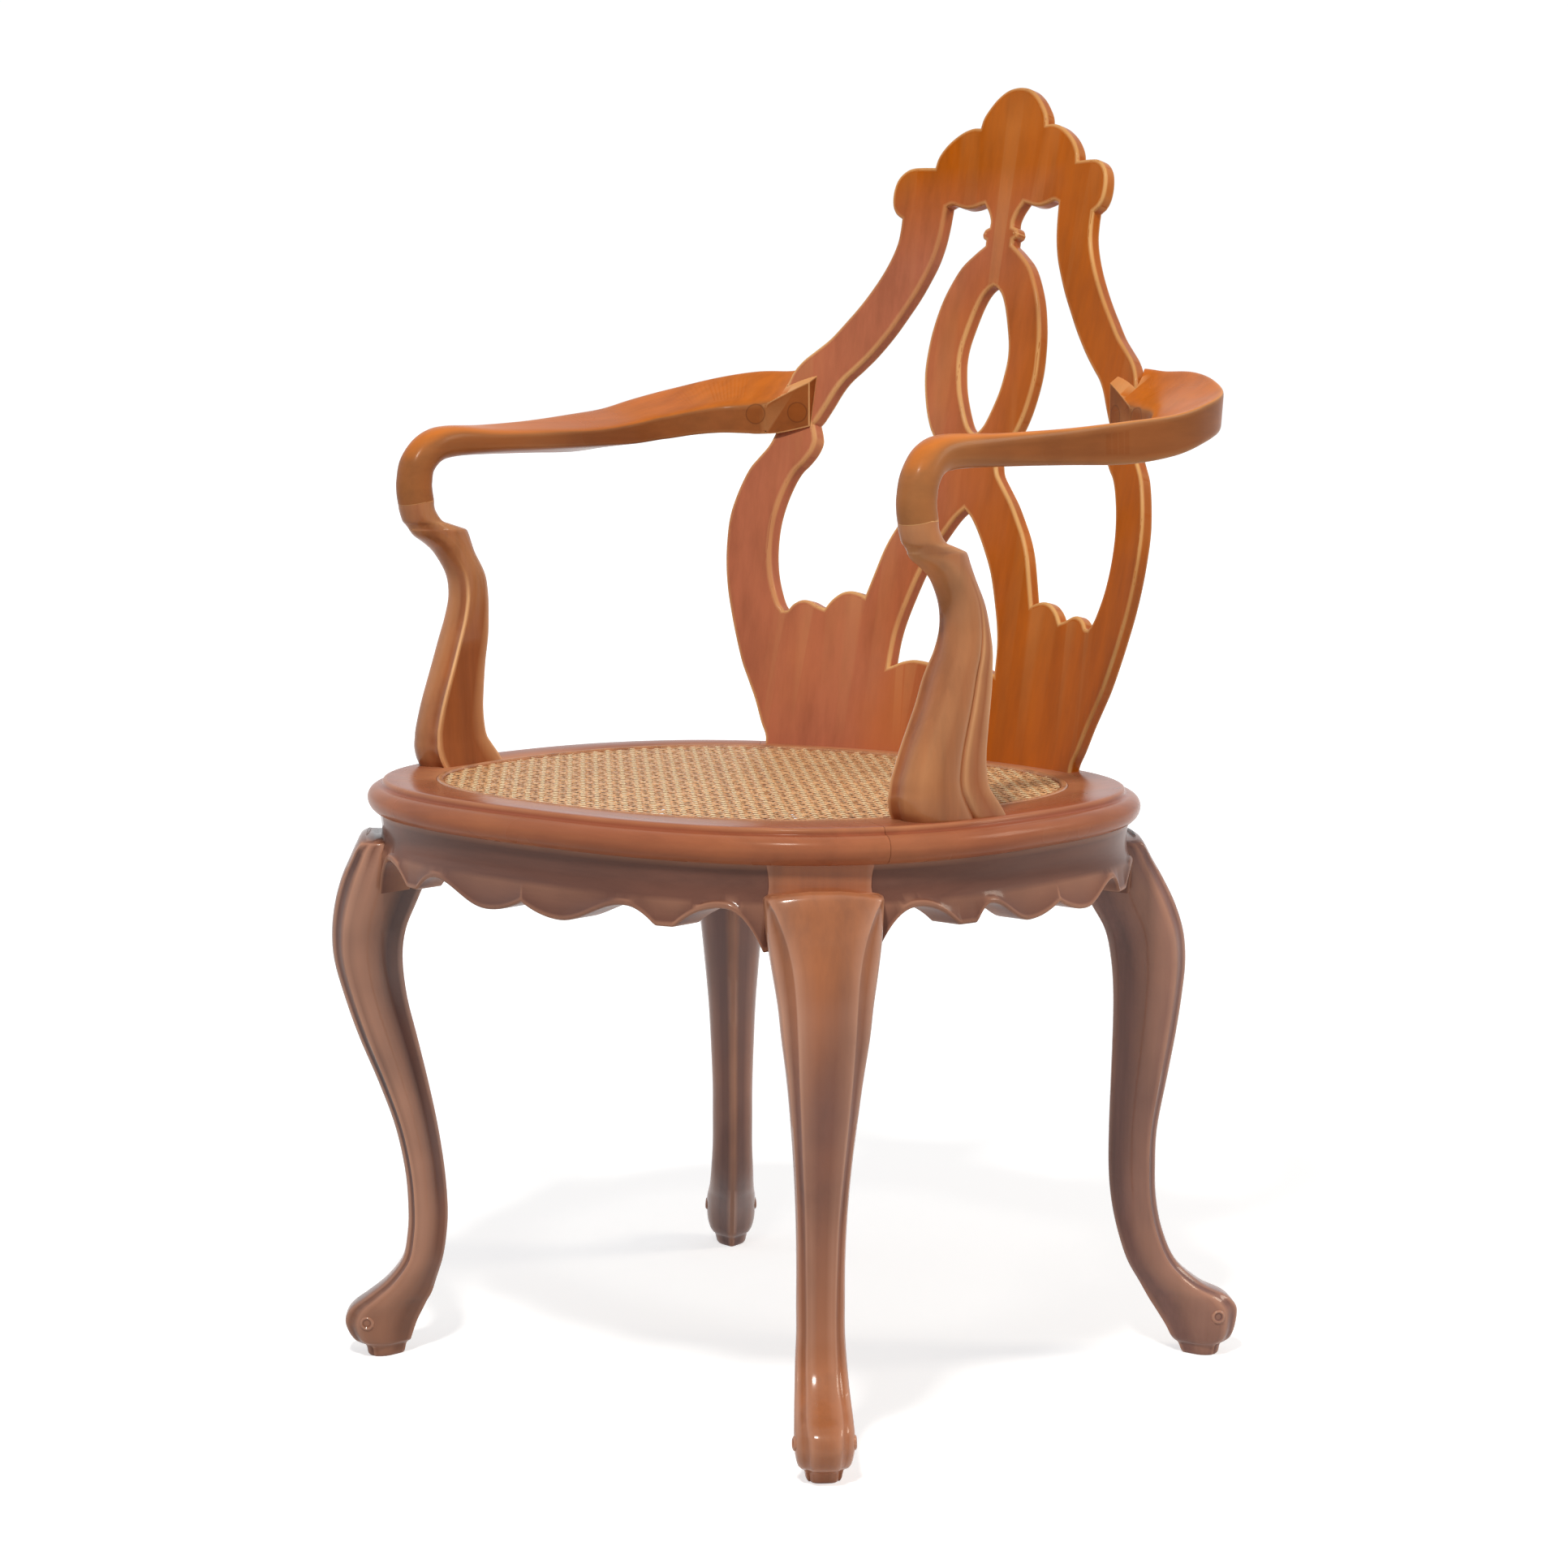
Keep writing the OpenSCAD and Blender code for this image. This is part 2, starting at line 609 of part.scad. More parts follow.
module panel_outline() {
    difference() {
        polygon(concat(flat_points(half_outline), [[0, back_l]], flipped(flat_points(half_outline))));
        polygon(flat_points(tall_opening));
        polygon(flipped(flat_points(tall_opening)));
        polygon(concat(flat_points(loop_opening), flipped(flat_points(loop_opening))));
        polygon(concat(flat_points(almond_opening), flipped(flat_points(almond_opening))));
    }
}

// Places a flat blank at the panel's foot, leaning back; local Z runs towards the sitter
module at_back() {
    translate([0, back_y, seat_h]) rotate([90 - back_rake, 0, 0]) children();
}

// Curved layer behind the panel's front face, of a given thickness
module curved_layer(low, high, thick) {
    translate([0, low, back_r])
        rotate([-90, 0, 0])
            difference() {
                cylinder(r = back_r + thick, h = high - low, $fn = 96);
                translate([0, 0, -1]) cylinder(r = back_r, h = high - low + 2, $fn = 96);
            }
}

dowel_in_ring = lip_w + groove_w + 14;
tongue_half = ring_point(joint_rear, dowel_in_ring)[0] - tongue_gap;
module back_tongue_solid() {
    intersection() {
        at_back() intersection() {
            translate([0, 0, -beyond])
                linear_extrude(2 * beyond) translate([-tongue_half, -60]) square([2 * tongue_half, 100]);
            curved_layer(-70, 60, back_t);
        }
        translate([-beyond, 0, seat_h - back_tongue]) cube([2 * beyond, beyond, back_tongue]);
    }
}

module back_panel() {
    color(wood_orange) difference() {
        union() {
            intersection() {
                at_back() intersection() {
                    translate([0, 0, -beyond]) linear_extrude(2 * beyond) union() {
                        panel_outline();
                        translate([-160, -60]) square([320, 61]);
                    }
                    curved_layer(-70, back_l + 10, back_t);
                }
                translate([-beyond, 0, seat_h]) cube([2 * beyond, beyond, 2 * beyond]);
            }
            back_tongue_solid();
        }
        arm_screw_holes();
    }
}

// Arm posts
// Stations of a post: height as a share of its length, place from the foot's middle to the front,
// then half width and half depth
post_rows = [[0, 0, 4, 19, 34], [0.06, 0, 8, 18.5, 36], [0.14, 0, 9, 17.5, 33], [0.26, 1, 6, 17, 26],
    [0.38, 2, 0, 16.5, 20], [0.48, 2, -6, 16, 18], [0.56, 3, -11, 15, 16], [0.64, 3, -13, 14, 15],
    [0.72, 3, -10, 14, 15.5], [0.8, 4, 0, 14, 17], [0.85, 4, 10, 14, 20], [0.88, 4, 18, 14, 23],
    [0.9, 5, 24, 14, 21], [0.93, 5, 33, 14, 16], [0.97, 5, 38, 13.5, 14], [1, 5, 39, 13.5, 14]];
post_l = arm_joint_h - seat_h;

function post_ring(row) =
    let(z = seat_h + row[0] * post_l, x = post_x + row[1], y = -post_y - row[2], w = row[3], d = row[4])
    [[x + w * 0.55, y - d, z], [x + w, y - d * 0.5, z], [x + w, y + d * 0.45, z], [x + w * 0.8, y + d * 0.95, z],
        [x, y + d, z], [x - w * 0.75, y + d * 0.95, z], [x - w, y + d * 0.4, z], [x - w, y - d * 0.55, z],
        [x - w * 0.55, y - d, z], [x, y - d * 1.04, z]];

post_steps = 34;
module post_tenon(side) {
    translate([side * post_x, -post_y, seat_h - post_tenon_l])
        cylinder(r = post_tenon_r, h = post_tenon_l + 6, $fn = 32);
}

module arm_dowel(side) {
    top = post_rows[len(post_rows) - 1];
    translate([side * (post_x + top[1]), -post_y - top[2], arm_joint_h])
        cylinder(r = dowel_r, h = dowel_l, center = true, $fn = 32);
}

module arm_dowels() {
    color(wood) for (side = [-1, 1]) arm_dowel(side);
}

module arm_post(side) {
    rings = [for (i = [0 : post_steps])
        post_ring(smooth_row(post_rows, (len(post_rows) - 1) * i / post_steps))];
    color(wood_orange) difference() {
        union() {
            mirrored_x(side < 0) skin(rings);
            post_tenon(side);
        }
        arm_dowel(side);
    }
}

module arm_post_right() {
    arm_post(1);
}

module arm_post_left() {
    arm_post(-1);
}

// Arms
// A point on the panel's front face, at a distance round its curve and up its slope
function panel_point(round, up) =
    let(x = back_r * sin(round / back_r * 180 / PI), deep = back_r - sqrt(back_r * back_r - x * x),
        slope = up * back_l / outline_l)
    [x, back_y + slope * sin(back_rake) - deep * cos(back_rake),
        seat_h + slope * cos(back_rake) + deep * sin(back_rake)];

// Stations of an arm: share of the way from the post's joint to the stile, place off that straight way,
// heading of the outward side, then reach outward and inward from the path, and heights above the path of
// the top outside, top inside, bottom outside and bottom inside. It is round over the crook, then a plate
// with upright sides whose top tilts inwards, and turns in along the stile
arm_rows = [[0, 0, 0, 0, 0, 13.5, 13.5, 14, 14, -14, -14],
    [0, 0, -2, 14, 0, 13.5, 13.5, 13.8, 13.8, -13.8, -13.8],
    [0, 0, 2, 29, 0, 13.5, 13.5, 13.5, 13.5, -13.5, -13.5],
    [0, -1, 14, 41, 0, 13.5, 13.5, 13, 13, -13, -13],
    [0.06, 4.4, 12.6, 40.6, 0, 13.5, 13.5, 12.5, 12, -12.5, -12],
    [0.19, 18.1, 12.3, 29, 4, 14.5, 14.5, 14, 8, -12, -9],
    [0.37, 41.3, 8.2, 13.9, 8, 15.5, 15.5, 15.5, 6, -13, -9],
    [0.54, 64.6, 7.6, 1.7, 12, 16, 17.5, 17, 3.2, -16, -11],
    [0.67, 82.2, 5.3, -5.9, 15, 17, 22, 17, 3, -14.5, -14.5],
    [0.76, 90.3, 6.2, -8, 28, 18, 30, 18.8, 1.5, -11.5, -18.5],
    [0.85, 88.4, 5.2, -9, 48, 19, 33, 21, -2, -9.5, -23.5],
    [0.93, 74.6, 2.7, -8.2, 66, 14, 31, 22, -6, -9, -30],
    [1, 54.9, -5.3, -8.4, 78, 12.5, 29, 21, -9.5, -10, -35.5],
    [1, 27.9, 2.7, -5.4, 86, 11.5, 26.5, 18, -10, -13, -37.5],
    [1, 5.9, 5.7, -4.4, 92, 11, 28, 15, -11, -16, -39],
    [1, -22.1, 6.7, -5.4, 92, 11, 28, 12, -12, -18, -38]];
arm_steps = 60;
// Where the straight way ends on the stile: round the panel's curve, and up its slope
stile_round = 163;
stile_up = 295;

function arm_centre(r) =
    let(top = post_rows[len(post_rows) - 1], joint = [post_x + top[1], -post_y - top[2], arm_joint_h])
    blend(joint, panel_point(stile_round, stile_up), r[0]) + [r[1], r[2], r[3]];

// One ring of an arm, square to its path. Its corners are cut: across and up, each from -1 to 1
function arm_ring(u) =
    let(n = len(arm_rows) - 1, r = smooth_row(arm_rows, u), c = arm_centre(r),
        ahead = arm_centre(smooth_row(arm_rows, min(u + 0.05, n))),
        behind = arm_centre(smooth_row(arm_rows, max(u - 0.05, 0))),
        along = u == 0 ? [0, 0, 1] : unit(ahead - behind),
        level = [cos(r[4]), sin(r[4]), 0],
        side = unit(level - along * (level * along)), up = cross(side, along))
    [for (p = [[0.75, -0.95], [0, -1], [-0.75, -0.95], [-1, -0.6], [-1, 0.7], [-0.8, 0.95], [-0.5, 1],
            [0.5, 1], [0.8, 0.95], [1, 0.7], [1, -0.6]])
        let(out = (p[0] + 1) / 2, high = (p[1] + 1) / 2)
        c + side * blend(-r[6], r[5], out)
            + up * blend(blend(r[10], r[9], out), blend(r[8], r[7], out), high)];

// The slanting cut at the arm's end, from its inner corner to the panel's face: angle, place off the
// stile's point, and reach towards the corner
end_slant = 42;
end_x = -10;
end_y = 4;
end_reach = 60;
module arm_end_cut() {
    stile = panel_point(stile_round, stile_up);
    translate([stile[0] + end_x, stile[1] + end_y, 0])
        rotate([0, 0, -end_slant])
            translate([-beyond, -beyond / 2, 0]) cube([beyond + end_reach, beyond / 2, 2 * beyond]);
}

// Where the back panel stands, for the notch at the arm's end
module panel_keepout() {
    at_back() intersection() {
        translate([0, 0, -beyond]) linear_extrude(2 * beyond)
            polygon(concat(flat_points(half_outline), [[0, back_l]]));
        curved_layer(200, 360, 60);
    }
}

// Screws from behind the panel into the arm's end, square to the board: round its curve, and up its slope
screw_round = 176;
screw_up = 283;
module arm_screw(side) {
    around = screw_round / back_r * 180 / PI;
    at_back()
        translate([0, screw_up * back_l / outline_l, back_r])
            rotate([0, side * around, 0])
                translate([0, 0, -back_r - back_t]) {
                    cylinder(r = screw_head_r, h = screw_head_h, $fn = 24);
                    translate([0, 0, screw_head_h]) cylinder(r = screw_r, h = arm_screw_l - screw_head_h, $fn = 24);
                }
}

module arm_screw_holes() {
    for (side = [-1, 1]) arm_screw(side);
}

module arm_screws() {
    color(steel) arm_screw_holes();
}

module arm(side) {
    n = len(arm_rows) - 1;
    color(wood_orange) difference() {
        mirrored_x(side < 0) difference() {
            skin([for (i = [0 : arm_steps]) arm_ring(n * i / arm_steps)]);
            panel_keepout();
            arm_end_cut();
        }
        arm_dowel(side);
        arm_screw_holes();
    }
}

module arm_right() {
    arm(1);
}

module arm_left() {
    arm(-1);
}

leg_front_left();
leg_front_right();
leg_rear_left();
leg_rear_right();
apron_front();
apron_rear();
apron_left();
apron_right();
seat_rail_front();
seat_rail_rear();
seat_rail_left();
seat_rail_right();
cane_web();
cane_spline();
arm_post_left();
arm_post_right();
arm_left();
arm_right();
back_panel();
brace_front_left();
brace_front_right();
brace_rear_left();
brace_rear_right();
brace_screws();
arm_screws();
arm_dowels();
frame_dowels();
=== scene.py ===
# %% [markdown]
# A cane armchair is dressed here for its portrait. The real chair is carved from a few hardwood boards:
# four curved legs, scalloped aprons, a moulded ring that carries a woven cane sheet, two curled arms on
# their posts, and a back that is sawn and bent from one board. The joiner's solids give every size and
# place. This lesson gives them the maker's last touches: rounded arrises, real weaving and varnish.

# %% Load the joiner's solids and keep their box
import math
import bmesh
import bpy
from mathutils import Matrix, Vector


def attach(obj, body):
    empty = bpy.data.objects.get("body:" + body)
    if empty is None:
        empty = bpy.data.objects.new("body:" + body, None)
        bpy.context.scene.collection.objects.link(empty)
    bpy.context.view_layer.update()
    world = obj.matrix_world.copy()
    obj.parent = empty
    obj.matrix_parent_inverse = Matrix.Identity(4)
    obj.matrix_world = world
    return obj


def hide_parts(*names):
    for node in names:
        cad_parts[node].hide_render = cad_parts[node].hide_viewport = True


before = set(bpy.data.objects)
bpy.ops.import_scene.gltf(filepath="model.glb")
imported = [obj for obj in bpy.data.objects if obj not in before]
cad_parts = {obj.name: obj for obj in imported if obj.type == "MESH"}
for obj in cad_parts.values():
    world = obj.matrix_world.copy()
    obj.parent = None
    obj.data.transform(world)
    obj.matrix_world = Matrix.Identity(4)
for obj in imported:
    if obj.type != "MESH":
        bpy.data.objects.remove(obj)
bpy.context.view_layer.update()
MM = 0.001
print("solids loaded:", len(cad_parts))

# %% [markdown]
# The camera stands where the photographer stood: about two and a half metres away, a little above the
# seat, turned so that the front right leg points at it. A lens of 77 mm keeps the far legs large.

# %% Camera
CAMERA_PLACE = (1.688, -1.911, 0.757)
CAMERA_TURN, CAMERA_TILT = math.radians(41.56), math.radians(90 - 7.04)
LENS, FILM = 77.2, 36


def new_object(name, data):
    """A new object, shown in the scene."""
    made = bpy.data.objects.new(name, data)
    bpy.context.scene.collection.objects.link(made)
    return made


camera = new_object("portrait_camera", bpy.data.cameras.new("portrait_camera"))
camera.location = CAMERA_PLACE
camera.rotation_euler = (CAMERA_TILT, 0, CAMERA_TURN)
camera.data.lens, camera.data.sensor_width, camera.data.clip_start = LENS, FILM, 0.05
bpy.context.scene.camera = camera
print("camera at", tuple(camera.location))

# %% [markdown]
# Wood is seldom one colour. These small helpers turn a paint chip's red, green and blue into the linear
# light that shaders use, and place and feed shader nodes, so that each finish below reads like a recipe.
# A socket is fed with a plain value, or with the node and output that it is linked to.

# %% Helpers for shader nodes
def tone(red, green, blue):
    """A colour chip from 0 to 255 as linear light."""
    return tuple((c / 255 / 12.92 if c < 11 else ((c / 255 + 0.055) / 1.055) ** 2.4)
                 for c in (red, green, blue)) + (1.0,)


def feed(tree, node, values):
    """Gives each named socket its plain value or its link."""
    for socket, value in values.items():
        if isinstance(value, tuple) and isinstance(value[0], bpy.types.Node):
            tree.links.new(value[0].outputs[value[1]], node.inputs[socket])
        else:
            node.inputs[socket].default_value = value
    return node


def place(tree, kind, values=(), **settings):
    """A new node with its settings and its fed sockets."""
    made = tree.nodes.new(kind)
    for name, value in settings.items():
        setattr(made, name, value)
    return feed(tree, made, dict(values))


def new_group(title, entries, exits):
    """An empty node group with named inputs and outputs."""
    tree = bpy.data.node_groups.new(title, "ShaderNodeTree")
    for direction, sockets in (("INPUT", entries), ("OUTPUT", exits)):
        for name, kind in sockets.items():
            tree.interface.new_socket(name=name, in_out=direction, socket_type=kind)
    return tree, place(tree, "NodeGroupInput"), place(tree, "NodeGroupOutput")


def new_finish(title):
    """A new material, its node tree and its main shader."""
    finish = bpy.data.materials.new(title)
    finish.use_nodes = True
    return finish, finish.node_tree, finish.node_tree.nodes["Principled BSDF"]


def own_place(tree):
    """The place of a point on its own piece."""
    return place(tree, "ShaderNodeTexCoord"), "Object"


def axis_of(tree, vector, axis):
    """One of a vector's three parts."""
    return place(tree, "ShaderNodeSeparateXYZ", {0: vector}), axis


def maths(tree, operation, *entries):
    """One step of arithmetic."""
    return place(tree, "ShaderNodeMath", enumerate(entries), operation=operation), 0


def noise(tree, spot, scale, detail, **more):
    """A noise pattern read at a place."""
    values = {"Vector": spot, "Scale": scale, "Detail": detail, **more}
    return place(tree, "ShaderNodeTexNoise", values), "Fac"


def spread(tree, source, low, high, out_low=0.0, out_high=1.0):
    """A value stretched from one range to another and kept inside it."""
    return place(tree, "ShaderNodeMapRange", {"Value": source, "From Min": low, "From Max": high,
                                              "To Min": out_low, "To Max": out_high}), "Result"


def blend(tree, factor, first, second):
    """Two colours mixed by a factor."""
    return place(tree, "ShaderNodeMix", {0: factor, 6: first, 7: second}, data_type="RGBA"), 2


# %% [markdown]
# The wood's figure is one node group for every piece. Noise that is drawn out along the grain gives fine
# streaks and pores. Wider noise gives the warm patches and the patches of wear. A number that the mesh
# carries, high on each arris, tells where hands have rubbed the stain away and where a painted highlight
# lights the edge.

# %% Wood figure
C, F, V = "NodeSocketColor", "NodeSocketFloat", "NodeSocketVector"
STREAK_AMOUNT, WARM_AMOUNT = 0.5, 0.6
wood, wf_in, wf_out = new_group(
    "wood_figure",
    {"Along": V, "Place": V, "Body": C, "Streak": C, "Warm": C, "Wear and highlight": C, "Arris": F, "Gloss": F},
    {"Color": C, "Roughness": F, "Height": F})

fine = noise(wood, (wf_in, "Along"), 1.0, 5.0, Roughness=0.62)
bands = noise(wood, (wf_in, "Along"), 0.22, 3.0, Distortion=0.8)
pores = noise(wood, (wf_in, "Along"), 5.0, 2.0, Roughness=0.5)
patches = noise(wood, (wf_in, "Place"), 7.0, 3.0, Roughness=0.55)

streaks = spread(wood, fine, 0.38, 0.68)
streak_part = maths(wood, "MULTIPLY", streaks, STREAK_AMOUNT)
streaked = blend(wood, streak_part, (wf_in, "Body"), (wf_in, "Streak"))

band_fit, patch_fit = spread(wood, bands, 0.36, 0.66), spread(wood, patches, 0.38, 0.64)
both = maths(wood, "MULTIPLY", band_fit, patch_fit)
warm_part = maths(wood, "MULTIPLY", both, WARM_AMOUNT)
warmed = blend(wood, warm_part, streaked, (wf_in, "Warm"))

# Painted highlight and wear: arrises are painted paler where light catches them and where hands rub.
rubbed_and_lit = spread(wood, patches, 0.35, 0.7, 0.35, 1.0)
wear_and_highlight_part = maths(wood, "MULTIPLY", (wf_in, "Arris"), rubbed_and_lit)
wear_and_highlight = blend(wood, wear_and_highlight_part, warmed, (wf_in, "Wear and highlight"))

dull = spread(wood, patches, 0.3, 0.75, -0.07, 0.12)
rough = maths(wood, "ADD", (wf_in, "Gloss"), dull)
relief = maths(wood, "MULTIPLY_ADD", pores, 0.35, fine)
feed(wood, wf_out, {"Color": wear_and_highlight, "Roughness": rough, "Height": relief})
print("wood figure nodes:", len(wood.nodes))

# %% [markdown]
# Each finish places the same figure with its own stain. The grain runs up the legs, posts and back, from
# side to side in the front and rear boards, and from front to back in the arms and side boards: a Mapping
# node stretches the pattern that way. The varnish is thin, so a light coat lies over a duller wood.

# %% Varnished woods
UPRIGHT, CROSSWISE, LENGTHWISE = (70, 70, 5), (5, 70, 70), (70, 5, 70)


def varnish(title, grain, body, streak, warm, wear_and_highlight, gloss=0.3, coat=0.25):
    """A varnished wood: the shared figure in its own colours under a thin coat."""
    finish, tree, shader = new_finish(title)
    spot = own_place(tree)
    drawn = place(tree, "ShaderNodeMapping", {"Vector": spot, "Scale": grain})
    edge = place(tree, "ShaderNodeAttribute", attribute_name="arris")
    figure = place(tree, "ShaderNodeGroup", {
        "Along": (drawn, "Vector"), "Place": spot, "Arris": (edge, "Fac"), "Gloss": gloss,
        "Body": tone(*body), "Streak": tone(*streak), "Warm": tone(*warm), "Wear and highlight": tone(*wear_and_highlight)},
        node_tree=wood)
    height = figure, "Height"
    raised = place(tree, "ShaderNodeBump", {"Height": height, "Strength": 0.05, "Distance": 0.001})
    feed(tree, shader, {"Base Color": (figure, "Color"), "Roughness": (figure, "Roughness"),
                        "Normal": (raised, "Normal"), "Specular IOR Level": 0.06,
                        "Specular Tint": (1.0, 0.8, 0.6, 1.0), "Coat Weight": coat, "Coat Roughness": 0.14})
    return finish


back_varnish = varnish("back varnish", UPRIGHT, (184, 108, 78), (140, 80, 56), (200, 118, 78),
                       (242, 196, 130), gloss=0.32, coat=0.08)
arm_varnish = varnish("arm varnish", LENGTHWISE, (146, 82, 42), (102, 56, 28), (174, 96, 40),
                      (240, 186, 126), coat=0.04)
post_varnish = varnish("post varnish", UPRIGHT, (162, 96, 58), (112, 64, 40), (192, 108, 48),
                       (240, 186, 132))
leg_varnish_lit_and_shaded, apron_varnish, ring_varnish = {}, {}, {}
# Painted light and shade: one leg varnish, each leg's body painted to the light it gets, darkest at front
# left.
for leg_name, body in (("front_left", (78, 53, 49)), ("front_right", (114, 77, 70)),
                       ("rear_left", (112, 76, 69)), ("rear_right", (130, 90, 81))):
    leg_varnish_lit_and_shaded[leg_name] = varnish("leg varnish lit and shaded " + leg_name, UPRIGHT, body, (80, 54, 52), (156, 94, 68),
                                    (204, 150, 122), gloss=0.32, coat=0.5)
for course, grain in (("cross", CROSSWISE), ("side", LENGTHWISE)):
    apron_varnish[course] = varnish("apron varnish " + course, grain, (112, 74, 62), (84, 54, 46),
                                    (140, 88, 68), (176, 126, 100), gloss=0.42)
    ring_varnish[course] = varnish("ring varnish " + course, grain, (156, 86, 60), (112, 60, 44),
                                   (182, 98, 54), (216, 152, 108), gloss=0.26, coat=0.06)
print("woods:", len(bpy.data.materials))

# %% [markdown]
# The stain is uneven, and light is painted into it. The back is pinkish brown on one side and low down, and
# strong orange on the other side and at the crest, as painted warm light. The arms are painted orange on
# top, as painted light, and brown on their walls, as painted shade. The front legs are painted warmer at
# the knee and at the foot, as a painted highlight. A soft share, read from the piece's own place or from
# the way its surface faces, chooses between two colours, and the figure then lies over them.

# %% Uneven stains and painted light
def painted_light_stain(finish, share, body, streak, warm):
    """Paints light as a second colour that takes over where the share is high."""
    tree = finish.node_tree
    figure = next(n for n in tree.nodes if n.bl_idname == "ShaderNodeGroup")
    for socket, colour in (("Body", body), ("Streak", streak), ("Warm", warm)):
        first = tuple(figure.inputs[socket].default_value)
        feed(tree, figure, {socket: blend(tree, share, first, tone(*colour))})


def painted_warm_light_share(tree, sideways, upwards):
    """High towards one side of the chair and towards its top, with a wandering border."""
    spot = own_place(tree)
    shifted = maths(tree, "MULTIPLY_ADD", noise(tree, spot, 9.0, 3.0), 0.12, axis_of(tree, spot, "X"))
    height = axis_of(tree, spot, "Z")
    return maths(tree, "MAXIMUM", spread(tree, shifted, *sideways), spread(tree, height, *upwards))


def painted_top_light(tree, low, high):
    """High where the surface faces upwards."""
    facing = place(tree, "ShaderNodeNewGeometry"), "Normal"
    return spread(tree, axis_of(tree, facing, "Z"), low, high)


def painted_knee_foot_light(tree, knee, foot):
    """High at a leg's knee and at its foot."""
    height = axis_of(tree, own_place(tree), "Z")
    return maths(tree, "MAXIMUM", spread(tree, height, *knee), spread(tree, height, *foot))


# Painted light: the back's orange side and crest stand for warm light falling from the right and above.
painted_light_stain(back_varnish, painted_warm_light_share(back_varnish.node_tree, (-0.01, 0.12), (0.84, 0.92)),
             (176, 86, 0), (128, 62, 0), (204, 106, 2))
# Painted light and shade: arm tops are painted bright orange as lit, and walls kept brown as shaded.
painted_light_stain(arm_varnish, painted_top_light(arm_varnish.node_tree, 0.35, 0.8),
             (204, 106, 16), (160, 78, 8), (224, 120, 18))
# Painted highlight: front legs' knees and feet are painted warmer and lighter where the lamp's highlight
# falls.
for leg_name, knee, foot, body in (("front_left", (0.39, 0.43), (0.14, 0.03), (112, 72, 54)),
                                   ("front_right", (0.26, 0.36), (0.24, 0.07), (162, 98, 60))):
    painted_light_stain(leg_varnish_lit_and_shaded[leg_name], painted_knee_foot_light(leg_varnish_lit_and_shaded[leg_name].node_tree, knee, foot),
                 body, (98, 62, 46), (196, 116, 66))
print("nodes of the arms' finish:", len(arm_varnish.node_tree.nodes))

# %% [markdown]
# Two round wooden plugs hide fixings at the end of each arm. They lie flush, so only a change of grain
# and a fine dark rim show them. One small group finds how far a point is from a plug's middle, and it
# serves all four plugs, because the two arms mirror each other.

# %% Plug marks
PLUG_RADIUS = 0.0082
PLUGS = ((0.162, 0.192, 0.7212), (0.1937, 0.1759, 0.7198))
plug_mark, pm_in, pm_out = new_group("plug_mark", {"Place": V, "Middle": V}, {"Disc": F, "Rim": F})
folded = place(plug_mark, "ShaderNodeVectorMath", {0: (pm_in, "Place")}, operation="ABSOLUTE")
away = place(plug_mark, "ShaderNodeVectorMath", {0: (folded, 0), 1: (pm_in, "Middle")}, operation="DISTANCE")
reach = maths(plug_mark, "DIVIDE", (away, "Value"), PLUG_RADIUS)
rim = maths(plug_mark, "MULTIPLY", spread(plug_mark, reach, 1.08, 1.0), spread(plug_mark, reach, 0.88, 0.97))
feed(plug_mark, pm_out, {"Disc": spread(plug_mark, reach, 1.0, 0.94), "Rim": rim})


def mark_plugs(finish, middles):
    """Draws flush plugs over a finish, at the given places."""
    tree = finish.node_tree
    shader = tree.nodes["Principled BSDF"]
    spot = own_place(tree)
    under = shader.inputs["Base Color"].links[0]
    colour = under.from_node, under.from_socket.name
    for middle in middles:
        mark = place(tree, "ShaderNodeGroup", {"Place": spot, "Middle": middle}, node_tree=plug_mark)
        for output, share, shade in (("Disc", 0.35, tone(140, 70, 18)), ("Rim", 0.5, tone(84, 44, 24))):
            colour = blend(tree, spread(tree, (mark, output), 0, 1, 0, share), colour, shade)
    feed(tree, shader, {"Base Color": colour})


mark_plugs(arm_varnish, PLUGS)
print("plugs on each arm:", len(PLUGS))

# %% [markdown]
# Split cane keeps its shiny bark on the upper side. Its colour wanders from straw to honey over the sheet,
# with fine flecks. A painted highlight makes the crowns of the weave paler, and painted shade makes its dips
# darker.

# %% Cane, steel and bare wood
def cane_finish(title, body, deep, fleck_and_highlight, crown=None, painted_dip_shade=None):
    """Split cane: honey colours that wander, a low sheen, a painted highlight on the crowns and painted shade
    in the weave's dips.
    """
    finish, tree, shader = new_finish(title)
    spot = own_place(tree)
    wander, fleck = noise(tree, spot, 60.0, 4.0), noise(tree, spot, 900.0, 2.0)
    colour = blend(tree, spread(tree, wander, 0.42, 0.68), tone(*body), tone(*deep))
    colour = blend(tree, spread(tree, fleck, 0.5, 0.75), colour, tone(*fleck_and_highlight))
    # Painted highlight on the weave's crowns and painted shade in its dips, chosen by height.
    if crown:
        height = axis_of(tree, spot, "Z")
        colour = blend(tree, spread(tree, height, *crown), colour, tone(*fleck_and_highlight))
        colour = blend(tree, spread(tree, height, *painted_dip_shade), colour, tone(120, 74, 38))
    raised = place(tree, "ShaderNodeBump", {"Height": fleck, "Strength": 0.1, "Distance": 0.0003})
    feed(tree, shader, {"Base Color": colour, "Roughness": spread(tree, fleck, 0.3, 0.7, 0.28, 0.5),
                        "Normal": (raised, "Normal")})
    return finish


